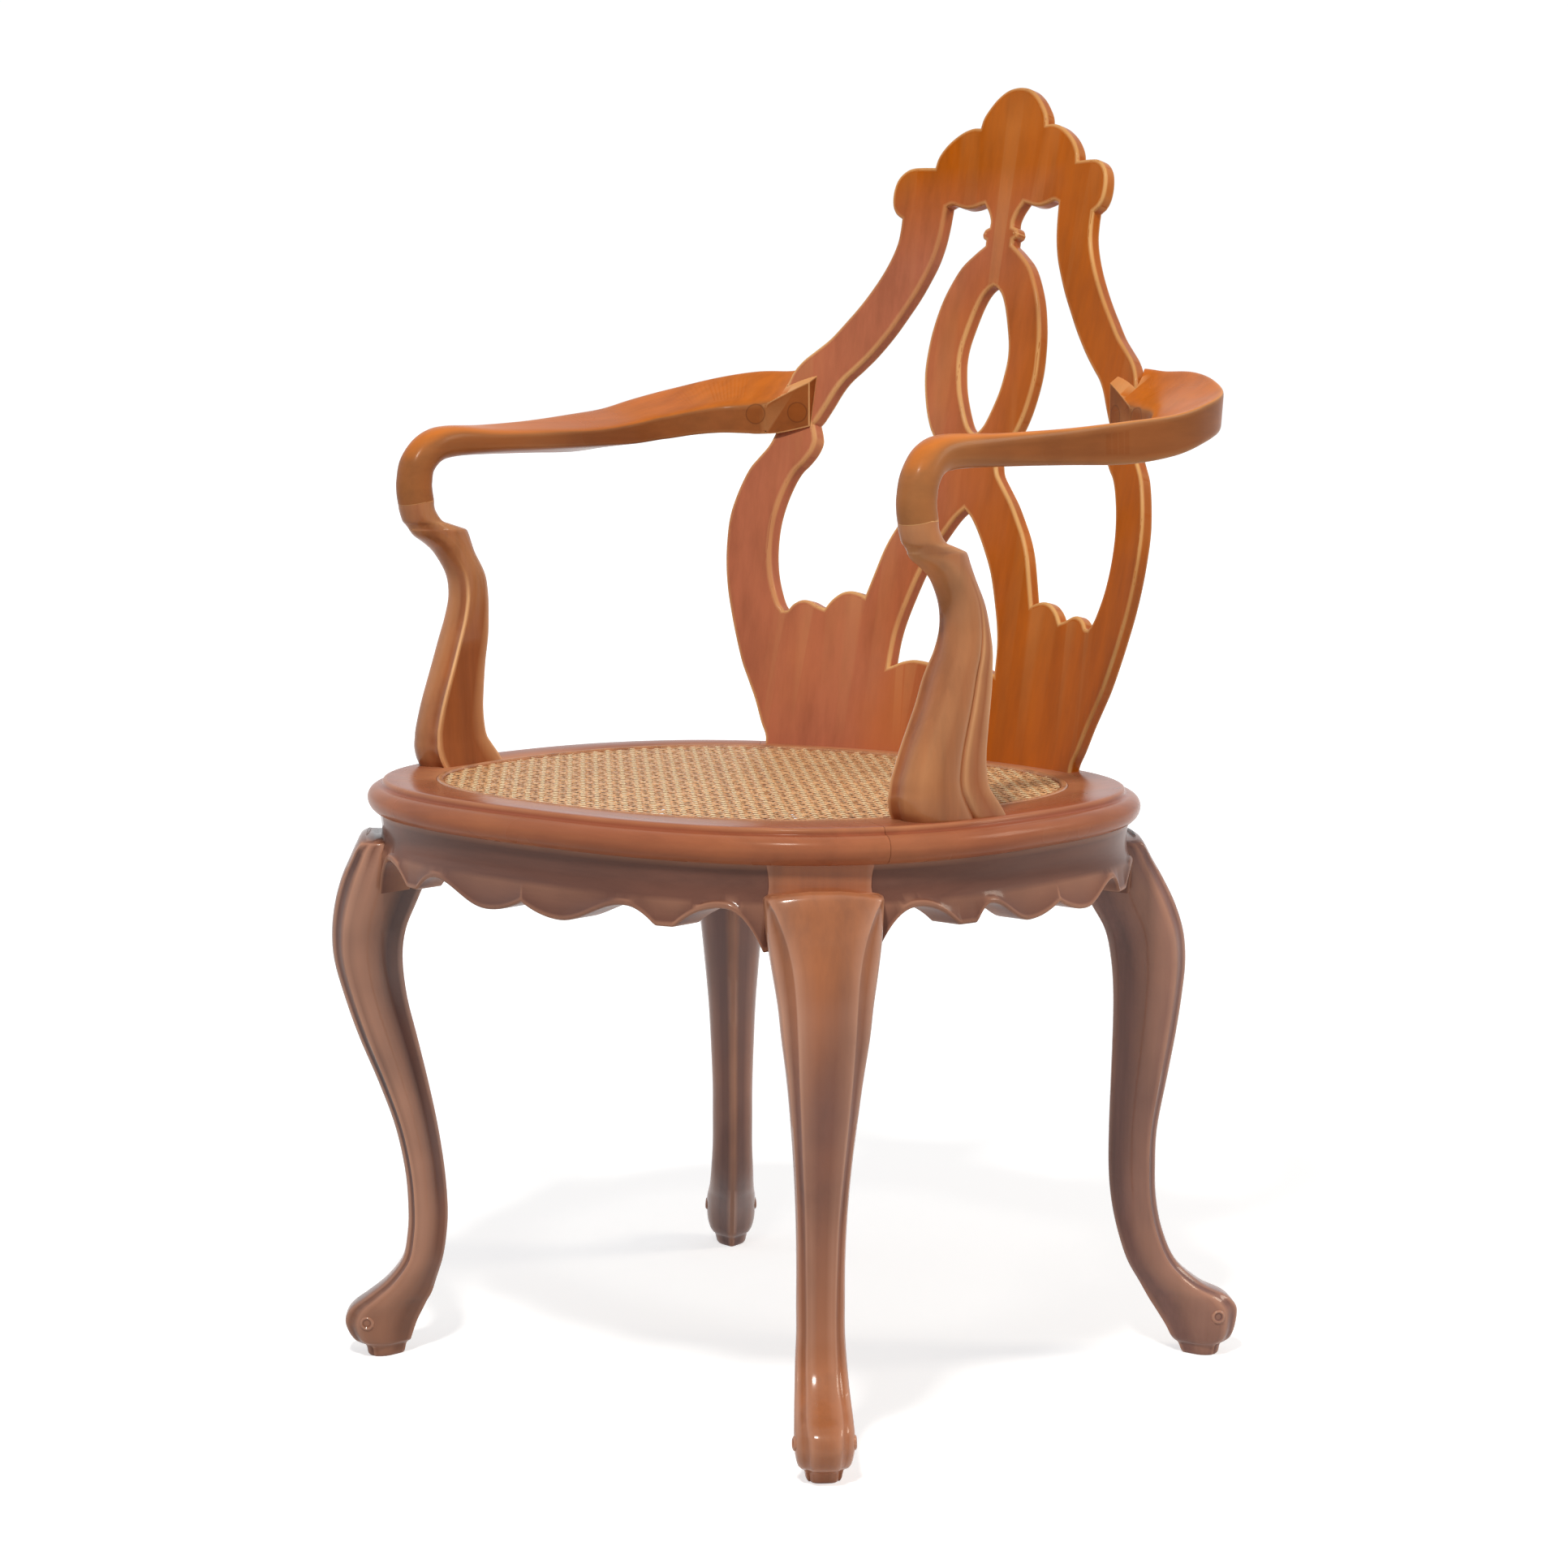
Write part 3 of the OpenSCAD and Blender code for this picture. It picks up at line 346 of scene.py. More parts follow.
cane_strand = cane_finish("cane strand", (222, 162, 104), (190, 126, 72), (255, 234, 186),
                          crown=(0.44905, 0.44945), painted_dip_shade=(0.4485, 0.4479))
cane_edge = cane_finish("cane edging", (188, 126, 82), (150, 94, 58), (214, 164, 116))
bare_wood = varnish("bare wood", UPRIGHT, (196, 150, 104), (160, 116, 76), (206, 160, 112), (220, 180, 140),
                    gloss=0.6, coat=0.0)

screw_steel, steel_tree, steel_shader = new_finish("screw steel")
steel_grain = noise(steel_tree, own_place(steel_tree), 800.0, 3.0)
feed(steel_tree, steel_shader, {
    "Metallic": 1.0, "Roughness": spread(steel_tree, steel_grain, 0.3, 0.7, 0.28, 0.5),
    "Base Color": blend(steel_tree, steel_grain, tone(150, 150, 152), tone(196, 196, 198))})
print("finishes:", len(bpy.data.materials))

# %% [markdown]
# The hidden joinery keeps the joiner's own solids: braces, dowels and screws only need their finishes.

# %% Finish the hidden joinery
BRACES = "brace_front_left", "brace_front_right", "brace_rear_left", "brace_rear_right"
for finish, nodes in ((apron_varnish["cross"], BRACES), (bare_wood, ("arm_dowels", "frame_dowels")),
                      (screw_steel, ("brace_screws", "arm_screws"))):
    for node in nodes:
        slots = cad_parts[node].data.materials
        slots.clear()
        slots.append(finish)
    print("finished:", *nodes)

# %% [markdown]
# Most of this chair is long and curved, with a section that changes on the way. A joiner rasps such a
# piece from station to station. Here a flat grid from one bmesh operator is wrapped round the row of
# sections: its rows become stations, its columns run round them, and the seam is merged. The ends are
# then closed. Each finished piece notes how sharply its surface turns at every point, for the wear and the
# painted edge highlight.

# %% Wrapping a grid round stations
def between(rows, u):
    """A smooth value through a table's rows, with u counted in rows."""
    last = len(rows) - 1
    i = max(0, min(int(u), last - 1))
    f = u - i
    four = [rows[max(0, min(last, k))] for k in (i - 1, i, i + 1, i + 2)]
    return [0.5 * (2 * b + (c - a) * f + (2 * a - 5 * b + 4 * c - d) * f * f
                   + (3 * b - a - 3 * c + d) * f ** 3) for a, b, c, d in zip(*four)]


def wrap(bm, sections, ringed=False):
    """Wraps a flat grid round a row of closed sections, and closes its two ends or joins them to a ring."""
    stations, around = len(sections) - (0 if ringed else 1), len(sections[0])
    made = bmesh.ops.create_grid(bm, x_segments=stations, y_segments=around, size=1.0)["verts"]
    for v in made:
        i = round((v.co.x + 1) * stations / 2) % len(sections)
        j = round((v.co.y + 1) * around / 2) % around
        v.co = sections[i][j]
    bmesh.ops.remove_doubles(bm, verts=made, dist=1e-7)
    bmesh.ops.holes_fill(bm, edges=[e for e in bm.edges if e.is_boundary])
    return bm


def note_arrises(bm, full=0.5):
    """Writes how sharply the surface turns outwards at each point, hidden end caps left out."""
    layer = bm.verts.layers.float.new("arris")
    cap_corners = 9
    for v in bm.verts:
        turns = [e.calc_face_angle_signed(0.0) for e in v.link_edges
                 if all(len(f.verts) < cap_corners for f in e.link_faces)]
        v[layer] = max(0.0, min(1.0, max(turns, default=0.0) / full))


def as_object(bm, name):
    """Turns a bmesh into an object of its own."""
    mesh = bpy.data.meshes.new(name)
    bmesh.ops.recalc_face_normals(bm, faces=bm.faces)
    bm.to_mesh(mesh)
    bm.free()
    return new_object(name, mesh)


def settle(bm, name, finish, material_slot, *nodes, sharp=38, full=0.5):
    """Turns a bmesh into a finished piece that stands for the given solids."""
    bmesh.ops.recalc_face_normals(bm, faces=bm.faces)
    note_arrises(bm, full)
    piece = as_object(bm, name)
    mesh = piece.data
    mesh.materials.append(finish)
    mesh.polygons.foreach_set("use_smooth", [True] * len(mesh.polygons))
    mesh.set_sharp_from_angle(angle=math.radians(sharp))
    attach(piece, "root")
    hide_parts(*nodes)
    print(name, len(mesh.polygons), "faces")
    return piece


def mirrored(bm):
    """The other side's twin: everything crosses the middle plane."""
    bmesh.ops.scale(bm, vec=(-1, 1, 1), verts=bm.verts)
    bmesh.ops.reverse_faces(bm, faces=bm.faces)
    return bm


# %% [markdown]
# The seat's plan is a squared oval. Its outline follows one rule, a superellipse, and the same rule with
# smaller half widths gives the aprons and the cane opening. All lengths below are in millimetres until
# they reach a mesh.

# %% The seat's plan
SEAT_H, FRAME_T, SQUARE, MID_Y = 450, 25, 2.6, -46
SEAT_W, SEAT_D, CANE_W, CANE_D = 287, 245, 224, 193
FRAME_Z = SEAT_H - FRAME_T
OVERHANG, APRON_T = 8, 20
APRON_W, APRON_D = SEAT_W - OVERHANG, SEAT_D - OVERHANG


def plan_point(half_w, half_d, angle):
    """A point of the oval at an angle from the right-hand side, in degrees."""
    c, s = math.cos(math.radians(angle)), math.sin(math.radians(angle))
    r = ((abs(c) / half_w) ** SQUARE + (abs(s) / half_d) ** SQUARE) ** (-1 / SQUARE)
    return Vector((r * c, MID_Y + r * s))


def plan_rise(half_w, half_d, x):
    """The oval as a height over x, from the seat's middle."""
    return half_d * max(0.0, 1 - min(abs(x) / half_w, 1) ** SQUARE) ** (1 / SQUARE)


def at_mm(x, y, z):
    """A point given in millimetres."""
    return Vector((x, y, z)) * MM


print("seat width", 2 * SEAT_W, "depth", 2 * SEAT_D)

# %% [markdown]
# The ring's edge is a moulding: a flat, a small step, and a fat round nose that catches the light. Four
# members make the ring, butted on slanting joints that show as fine dark lines. The moulding's section is
# swept round the oval between two joints, a hair short at each end.

# %% Moulded ring of the seat
NOSING = [(15.5, 0), (13.6, -0.1), (12.4, -0.7), (11.7, -1.8), (11.5, -3.6), (10.9, -4.7), (9.5, -5.1),
          (7.4, -5.2), (5.2, -5.9), (3.2, -7.2), (1.6, -9.0), (0.5, -11.2), (0.0, -13.5), (0.2, -16.0),
          (1.0, -18.6), (2.6, -21.2), (4.8, -23.3), (7.2, -24.6), (9.5, -25)]
INNER_EDGE = [(2, -25), (0, -23), (0, -3), (1, -2.1), (5, -2.0), (5, -7), (10, -7), (10, -0.5), (10.6, 0)]
JOINT_FRONT, JOINT_REAR, JOINT_HAIR = -29.04, 49.92, 0.035


def oval_section(angle, insets, outsets):
    """A closed section at one angle: insets from the outer line, then outsets from the inner one."""
    outer, inner = plan_point(SEAT_W, SEAT_D, angle), plan_point(CANE_W, CANE_D, angle)
    inward = (inner - outer).normalized()
    spots = [(outer + inward * inset, height) for inset, height in insets]
    spots += [(inner - inward * outset, height) for outset, height in outsets]
    return [at_mm(spot.x, spot.y, SEAT_H + height) for spot, height in spots]


for side, course, start, end, stations in (
        ("front", "cross", -180 - JOINT_FRONT, JOINT_FRONT, 72),
        ("right", "side", JOINT_FRONT, JOINT_REAR, 48),
        ("rear", "cross", JOINT_REAR, 180 - JOINT_REAR, 48),
        ("left", "side", 180 - JOINT_REAR, 180 - JOINT_FRONT, 48)):
    angles = [start + JOINT_HAIR + (end - start - 2 * JOINT_HAIR) * i / stations for i in range(stations + 1)]
    settle(wrap(bmesh.new(), [oval_section(a, NOSING, INNER_EDGE) for a in angles]), "ring_" + side,
           ring_varnish[course], "wood_seat", "seat_rail_" + side, sharp=50, full=0.9)

# %% [markdown]
# The cane sheet is woven from six strands a cell: two up, two across and one along each diagonal, which
# cut the corners of the square gaps. Each strand is a narrow grid that rises and dips in step with the
# strands it crosses, so that one diagonal shows as rows of crowns, painted pale as a highlight. Its ends stop
# at the groove.

# %% Woven cane
CANE_CELL, PAIR_GAP = 14.2, 2.9
STRAND_W, STRAND_T, SHORTEST = 2.7, 0.55, 12
CANE_Z = SEAT_H - 1.4
GROOVE_REACH, LINE_REACH, ROWS = 3.5, 330, 32


def strand(bm, start, end, width, lift, swing, phase, step):
    """One flat strand from start to end, rising and dipping once in two steps of the whole sheet."""
    along = end - start
    length = along.length
    if length < SHORTEST:
        return
    count = max(2, round(length / step) * 2)
    made = bmesh.ops.create_grid(bm, x_segments=count, y_segments=1, size=1.0)["verts"]
    along.normalize()
    across = Vector((-along.y, along.x))
    first = (start - Vector((0, MID_Y))).dot(along)
    for v in made:
        s, side = (v.co.x + 1) / 2 * length, v.co.y
        spot = start + along * s + across * side * width / 2
        wave = math.cos(math.pi * ((first + s) / step + phase))
        v.co = at_mm(spot.x, spot.y, CANE_Z + lift + swing * wave)


def chord(direction, offset, half_w, half_d):
    """Where a straight line across the seat meets the opening, as two points."""
    shift, middle = Vector((-direction.y, direction.x)) * offset, Vector((0, MID_Y))
    inside = []
    for t in range(-LINE_REACH, LINE_REACH + 1):
        spot = direction * t + shift
        if (abs(spot.x) / half_w) ** SQUARE + (abs(spot.y) / half_d) ** SQUARE <= 1:
            inside.append(middle + shift + direction * t)
    return (inside[0], inside[-1]) if len(inside) > 1 else None


weave = bmesh.new()
slant = CANE_CELL / math.sqrt(2)
for direction, spacing, shifts, lift, swing, width in (
        (Vector((0, 1)), CANE_CELL, (-PAIR_GAP, PAIR_GAP), -0.2, 0.3, STRAND_W),
        (Vector((1, 0)), CANE_CELL, (-PAIR_GAP, PAIR_GAP), 0.0, 0.3, STRAND_W),
        (Vector((1, 1)).normalized(), slant, (slant / 2,), 0.4, 0.62, STRAND_W + 0.5),
        (Vector((1, -1)).normalized(), slant, (slant / 2,), 0.0, -0.4, STRAND_W + 0.3)):
    for row in range(-ROWS, ROWS + 1):
        for turn, shift in enumerate(shifts):
            ends = chord(direction, row * spacing + shift, CANE_W + GROOVE_REACH, CANE_D + GROOVE_REACH)
            if ends:
                phase = row + turn if len(shifts) == 2 else 1
                strand(weave, *ends, width, lift, swing, phase, spacing / 2)
cane_piece = settle(weave, "woven_cane", cane_strand, "cane", "cane_web", sharp=60, full=3.0)
thickness = cane_piece.modifiers.new("strand thickness", "SOLIDIFY")
thickness.thickness = STRAND_T * MM
thickness.offset = -1

# %% [markdown]
# A round edging lies in the groove and hides the strands' ends. It is a half-round section swept once
# round the oval, closed on itself.

# %% Edging of the cane
EDGING_MIDDLE, EDGING_HALF, EDGING_RISE, EDGING_STEPS = 7.5, 2.35, 2.0, 180
half_round = [(EDGING_MIDDLE - EDGING_HALF * math.cos(math.pi * k / 8),
               EDGING_RISE * math.sin(math.pi * k / 8) - 1.4) for k in range(9)]
edging_profile = half_round + [(EDGING_MIDDLE + EDGING_HALF, -6.9), (EDGING_MIDDLE - EDGING_HALF, -6.9)]
round_sections = [oval_section(360 / EDGING_STEPS * k, [], edging_profile) for k in range(EDGING_STEPS)]
settle(wrap(bmesh.new(), round_sections, ringed=True), "cane_edging", cane_edge, "cane", "cane_spline",
       full=3.0)

# %% [markdown]
# The aprons are boards on edge that follow the oval. Their lower edge is sawn to lobes and arches, and the
# face swells outwards above that edge. One rule gives the sawn line as a height over the distance from
# the board's middle, and each station's section hangs down to it.

# %% The sawn line of the aprons
LOBE_DROP, ARCH_DROP = 49, 33
FRONT_KEYS, SIDE_KEYS = (37, 95, 120, 134, 166, 193), (34, 74, 87, 102, 132, 159.5)
REAR_REACH, SIDE_MIDDLE, INNER_WALL = 166, 13.5, -15
HOLLOW = [(0, 0.5), (-0.9, -4), (-1.7, -9), (-2.0, -15)]
FLARE = [(-1.5, -20), (-0.3, -24.5), (1.2, -28)]
LOBE_Z, CUSP_Z, ARCH_Z = FRAME_Z - LOBE_DROP, FRAME_Z - LOBE_DROP + 9, FRAME_Z - ARCH_DROP
FOOT_Z, BRACKET_Z, END_Z = FRAME_Z - LOBE_DROP + 4, FRAME_Z - ARCH_DROP + 3, FRAME_Z - ARCH_DROP - 26


def mix(a, b, t):
    """The value part of the way from one to another."""
    return a + (b - a) * t


def sawn_line(keys, s):
    """Height of the apron's lower edge at a distance from its middle."""
    if s < keys[0]:
        return mix(LOBE_Z, CUSP_Z, (1 - s / keys[0]) ** 2)
    if s < keys[1]:
        return mix(LOBE_Z, ARCH_Z, (1 - math.cos(math.pi * (s - keys[0]) / (keys[1] - keys[0]))) / 2)
    if s < keys[2]:
        return mix(ARCH_Z, FOOT_Z, ((s - keys[1]) / (keys[2] - keys[1])) ** 2)
    if s < keys[3]:
        return FOOT_Z
    if s < keys[4]:
        return mix(BRACKET_Z, FOOT_Z, (1 - (s - keys[3]) / (keys[4] - keys[3])) ** 2)
    return mix(BRACKET_Z, END_Z, ((s - keys[4]) / (keys[5] - keys[4])) ** 2.4)


def apron_section(bottom):
    """Outward distance and height: a shallow hollow, then a flare to a rounded lower edge."""
    face = [(out, max(FRAME_Z + drop, bottom + 4.6 + 0.2 * k))
            for k, (out, drop) in zip(range(7, 0, -1), HOLLOW + FLARE)]
    edge = [(2.8, bottom + 4.2), (3.7, bottom + 2.6), (3.9, bottom + 1.4), (3.4, bottom + 0.5), (2.2, bottom),
            (1.0, bottom), (-APRON_T + 2, bottom), (-APRON_T + 1, bottom), (-APRON_T, bottom + 1),
            (-APRON_T, bottom + 2), (-APRON_T, FRAME_Z + 0.5)]
    return face + edge


print("lobe", LOBE_Z, "arch", ARCH_Z, "cusp", CUSP_Z)

# %% [markdown]
# Front and rear boards are swept from side to side, side boards from front to rear. Both reach a little
# into the legs, as their tenons do, so that no gap opens beside a knee.

# %% Aprons
def apron(side, course, keys, steps, middle, reach, halves, spot):
    """A board that follows the oval; spot turns its length and its way out into a place."""
    sections = []
    for k in range(-steps, steps + 1):
        along = middle + reach * k / steps
        outer, inner = (plan_rise(halves[0] - t, halves[1] - t, along) for t in (0, APRON_T))
        sections.append([at_mm(*spot(along, inner if out < INNER_WALL else outer + out), z)
                         for out, z in apron_section(sawn_line(keys, abs(k) / steps * keys[5]))])
    settle(wrap(bmesh.new(), sections), "scalloped_apron_" + side, apron_varnish[course], "wood_dark",
           "apron_" + side, sharp=46)


for side, way, reach in (("front", -1, FRONT_KEYS[5]), ("rear", 1, REAR_REACH)):
    apron(side, "cross", FRONT_KEYS, steps=96, middle=0, reach=reach, halves=(APRON_W, APRON_D),
          spot=lambda x, out: (x, MID_Y + way * out))
for side, way in (("right", 1), ("left", -1)):
    apron(side, "side", SIDE_KEYS, steps=80, middle=SIDE_MIDDLE, reach=SIDE_KEYS[5],
          halves=(APRON_D, APRON_W), spot=lambda y, out: (way * out, MID_Y + y))

# %% [markdown]
# A cabriole leg starts at a wide knee, sweeps in to a slim ankle and turns out again to a scroll on a
# small pad. Its stations run from the floor up: height, the outline's front and back measured outwards
# from the foot, half width, and half width of the front facet. The facet's two arrises are the lines that
# catch the light from knee to scroll.

# %% Stations of the legs
FRONT_LEG = [
    (0, 11, -14, 11, 8), (2, 12.5, -15.5, 12.5, 8.5), (8, 14, -17, 14, 9), (10.5, 19, -20, 16.5, 9.5),
    (13, 23, -21, 18.5, 10), (19, 27, -23, 20, 10.5), (27, 29.5, -26, 21, 11), (35, 27.5, -30, 21, 11.5),
    (41, 22, -33, 20.6, 12), (48, 12, -37, 20, 12), (60, -3, -41, 19, 11), (76, -15, -46, 18, 10.5),
    (95, -19, -49, 17, 10), (115, -20, -50, 17, 10), (145, -18, -48, 17, 10.5), (180, -11, -43, 18, 11.5),
    (215, 1, -36, 20, 13.5), (250, 15, -28, 23, 15.6), (280, 25, -21, 26, 17.4), (310, 33, -18, 30, 18.8),
    (333, 34.5, -21, 32.5, 20), (355, 32, -30, 36, 21.8), (375, 26.5, -38, 39, 25.8),
    (392, 19, -40, 40.5, 32), (402, 14.5, -40, 41, 36.4), (407, 11.5, -40, 40.5, 37.5),
    (409.5, 7, -40, 38, 35)]
REAR_LEG = [
    (0, 11, -14, 11, 8), (2, 12.5, -15.5, 12.5, 8.5), (8, 14, -18, 14, 9), (10.5, 18, -21, 16.5, 9.5),
    (14, 22, -24, 18.5, 10), (22, 25, -28, 20.4, 10.5), (35, 26.5, -36, 21, 11),
    (42, 23, -40.5, 20.8, 11.5), (48, 16, -44, 20, 12), (57, -2, -49, 19, 11), (75, -22, -59, 18, 10.5),
    (100, -33, -67, 17, 10), (125, -38, -72, 17, 10), (150, -39, -74, 17, 10), (180, -38, -74, 18, 11.5),
    (220, -31, -73, 20, 13.5), (255, -25, -72, 23, 15.6), (285, -21, -72, 26, 17.4),
    (310, -19, -74, 29, 18.6), (333, -21, -79, 32, 20), (355, -28, -91, 34, 21.8), (375, -38, -98, 36, 25),
    (392, -48, -100, 37.5, 30), (402, -53, -100, 38, 33.5), (407, -56, -100, 37.5, 34),
    (409.5, -60, -100, 35, 32)]
LEG_TOP, CROWN_FROM, CROWN_DROP, KNEE_TOP = 409, 396, 4.5, FRAME_Z - 16


def leg_section(row):
    """A ring of the leg in its own plane: facet, raised arris, hollow, swelling side and narrow back."""
    z, out, back, wide, facet = row
    deep = out - back
    side = [(out + 0.2, facet * 0.3), (out - 0.1, facet * 0.68), (out - 0.9, facet * 0.88),
            (out - 1.2 - 0.02 * deep, facet), (out - 2.6 - 0.03 * deep, facet + 1.0),
            (out - 3.2 - 0.07 * deep, mix(facet, wide, 0.42)), (out - 0.18 * deep, mix(facet, wide, 0.8))]
    side += [(out - share * deep, wide * part) for share, part in (
        (0.27, 0.985), (0.37, 1), (0.5, 0.94), (0.64, 0.78), (0.79, 0.5), (0.92, 0.25), (1, 0.08))]
    crown = max(0.0, min(1.0, (z - CROWN_FROM) / (LEG_TOP - CROWN_FROM)))
    ring = side + [(a, -b) for a, b in reversed(side)]
    return [at_mm(a, b, z * KNEE_TOP / LEG_TOP - crown * CROWN_DROP * (b / wide) ** 2) for a, b in ring]


print("leg stations:", len(FRONT_LEG), len(REAR_LEG))

# %% [markdown]
# Above the knee the leg ends in a square post whose two outer faces continue the aprons. It is part of
# the same timber, so it joins the same mesh, set back behind the knee's arched top. The scroll's eye is a
# small turned button: a profile spun round its own axis and laid on both sides of the foot.

# %% Legs
EYE_OUT, POST_STEPS, LEG_STEPS = 20.2, 10, 120


def leg_post(bm, face_x, face_y, way):
    """The square top of a leg with the aprons' curve outside."""
    start = math.degrees(math.atan2(way * plan_rise(APRON_W, APRON_D, face_x), face_x))
    end = math.degrees(math.atan2(way * face_y, plan_rise(APRON_D, APRON_W, face_y)))
    corner = Vector((face_x, MID_Y + way * face_y))
    sections = []
    for out, drop in [(-1.0, -34), (-0.6, -24)] + HOLLOW[::-1]:
        rim = [plan_point(APRON_W + out, APRON_D + out, mix(start, end, k / POST_STEPS))
               for k in range(POST_STEPS + 1)]
        sections.append([at_mm(p.x, p.y, FRAME_Z + drop) for p in [corner] + rim])
    wrap(bm, sections)


def scroll_eye(bm, spot, facing):
    """A dimpled button on the side of a scroll."""
    others = set(bm.verts)
    profile = [(0.0, 0.2), (1.9, 0.35), (2.9, 1.1), (3.9, 1.75), (4.9, 1.3), (5.6, 0.0), (5.9, -2.0)]
    points = [bm.verts.new((r * MM, 0, h * MM)) for r, h in profile]
    edges = [bm.edges.new(pair) for pair in zip(points, points[1:])]
    bmesh.ops.spin(bm, geom=points + edges, cent=(0, 0, 0), axis=(0, 0, 1), angle=math.tau, steps=20,
                   use_merge=True)
    turn = Vector((0, 0, 1)).rotation_difference(facing).to_matrix().to_4x4()
    bmesh.ops.transform(bm, matrix=Matrix.Translation(spot) @ turn,
                        verts=[v for v in bm.verts if v not in others])


def leg(name, rows, foot, heading, faces, way, mirror, eye):
    """A carved leg: knee to pad, its post above and the eyes of its scroll."""
    bm = wrap(bmesh.new(), [leg_section(between(rows, (len(rows) - 1) * i / LEG_STEPS))
                            for i in range(LEG_STEPS + 1)])
    for side in (-1, 1):
        scroll_eye(bm, at_mm(eye[0], side * EYE_OUT, eye[1]), Vector((0.1, side, 0.05)).normalized())
    turn = Matrix.Rotation(math.radians(heading), 4, "Z")
    bmesh.ops.transform(bm, matrix=Matrix.Translation(at_mm(foot[0], foot[1], 0)) @ turn, verts=bm.verts)
    leg_post(bm, faces[0], faces[1], way)
    bmesh.ops.remove_doubles(bm, verts=bm.verts, dist=1e-7)
    if mirror:
        mirrored(bm)
    settle(bm, "cabriole_" + name, leg_varnish_lit_and_shaded[name], "wood_dark", "leg_" + name, sharp=44)


for side, mirror in (("right", False), ("left", True)):
    leg("front_" + side, FRONT_LEG, foot=(225, -220), heading=-45, faces=(191, 144), way=-1, mirror=mirror,
        eye=(12, 29))
    leg("rear_" + side, REAR_LEG, foot=(247, 202), heading=46, faces=(164, 171), way=1, mirror=mirror,
        eye=(9, 33))

# %% [markdown]
# The arm's post rises from a wide foot, leans back at its waist and swings forward to the crook, with a
# small cusp behind. Stations give the share of its height, the place of its middle, half width and half
# depth. Low down the section is carved: a fat lobe in front, a groove on the outside, a flute and a crisp
# arris on the inside. It is skewed a little to follow the oval. Higher up it grows round, so that it
# meets the arm without a step.

# %% Arm posts
POST_X, POST_Y, JOINT_H = 245, -114, 655
POST = [
    (0, 0, 1.2, 19.4, 36.8), (0.03, 0, 5.2, 19.2, 36.2), (0.07, 0, 9.6, 18.7, 33.6),
    (0.1, 0, 11.6, 18.2, 31), (0.14, 0, 12, 17.6, 29.4), (0.2, 0.5, 10.3, 17.2, 26.8),
    (0.26, 1, 7.4, 17, 24.6), (0.38, 2, 0, 16.5, 20.3), (0.48, 2, -6, 16, 18), (0.56, 3, -11, 15, 16),
    (0.64, 3, -13, 14, 15), (0.72, 3, -10, 14, 15.5), (0.8, 4, 0, 14, 17), (0.84, 4, 7, 14, 21),
    (0.87, 4, 13.5, 14, 25.5), (0.89, 4, 17, 14, 26.5), (0.9, 4.5, 20.5, 14, 24), (0.915, 5, 27, 14, 19.5),
    (0.93, 5, 33, 14, 16), (0.97, 5, 38, 13.6, 14), (1, 5, 39, 13.5, 14)]
CARVED = [
    (0, -1.02, 0), (0.22, -1.01, 12), (0.42, -0.97, 24), (0.6, -0.9, 35), (0.75, -0.79, 46),
    (0.86, -0.65, 57), (0.93, -0.48, 67), (0.97, -0.3, 77), (0.975, -0.12, 86), (0.94, 0.04, 95),
    (0.86, 0.16, 102), (0.97, 0.24, 110), (1, 0.36, 118), (1, 0.6, 128), (1, 0.85, 138), (0.93, 0.97, 150),
    (0.7, 1, 160), (0.25, 1, 172), (-0.25, 1, 188), (-0.7, 1, 200), (-0.93, 0.97, 210), (-1, 0.85, 222),
    (-1, 0.4, 240), (-1, 0, 262), (-1, -0.4, 280), (-1, -0.75, 296), (-1, -0.9, 305), (-0.93, -0.935, 309),
    (-0.82, -0.91, 315), (-0.68, -0.89, 322), (-0.52, -0.91, 330), (-0.36, -0.96, 339), (-0.18, -1, 349)]
ROUND_FROM, ROUND_TO, ROUND_POWER, RISE_STEPS = 0.42, 0.86, 2 / 2.1, 90


def post_section(share):
    """A closed section of the right-hand post, from carved to round."""
    t, x, ahead, wide, deep = between(POST, share * (len(POST) - 1))
    fade = max(0.0, min(1.0, (t - ROUND_FROM) / (ROUND_TO - ROUND_FROM)))
    roundness = fade * fade * (3 - 2 * fade)
    height = SEAT_H + t * (JOINT_H - SEAT_H)
    ring = []
    for a, b, turn in CARVED:
        c, s = math.cos(math.radians(turn)), math.sin(math.radians(turn))
        across = mix(a, math.copysign(abs(s) ** ROUND_POWER, s), roundness) * wide
        along = mix(b, -math.copysign(abs(c) ** ROUND_POWER, c), roundness) * deep
        outset = (2.5 + 0.12 * along) * (1 - roundness)
        ring.append(at_mm(POST_X + x + across + outset, POST_Y - ahead + along, height))
    return ring


for side, mirror in (("right", False), ("left", True)):
    bm = wrap(bmesh.new(), [post_section(i / RISE_STEPS) for i in range(RISE_STEPS + 1)])
    settle(mirrored(bm) if mirror else bm, "carved_post_" + side, post_varnish, "wood_light",
           "arm_post_" + side, sharp=40, full=0.7)

# %% [markdown]
# The back's rule comes before the arms, because they end on it: a point is given by its distance round the
# curve and its height up the slope, and both become a place in the room.

# %% Places on the back board
BACK_R, BACK_T, BACK_L, BACK_INSET = 496, 13, 543, 28
BACK_Y, BACK_LEAN = MID_Y + SEAT_D - BACK_INSET, math.radians(11.4)
STILE_AROUND, STILE_UP = 163, 295


def on_board(x, up, behind=0.0):
    """A place on the bent board in millimetres: flat chord, slope, and depth behind its front face."""
    local = BACK_R - math.sqrt((BACK_R + behind) ** 2 - x * x)
    return Vector((x, BACK_Y + up * math.sin(BACK_LEAN) - local * math.cos(BACK_LEAN),
                   SEAT_H + up * math.cos(BACK_LEAN) + local * math.sin(BACK_LEAN)))


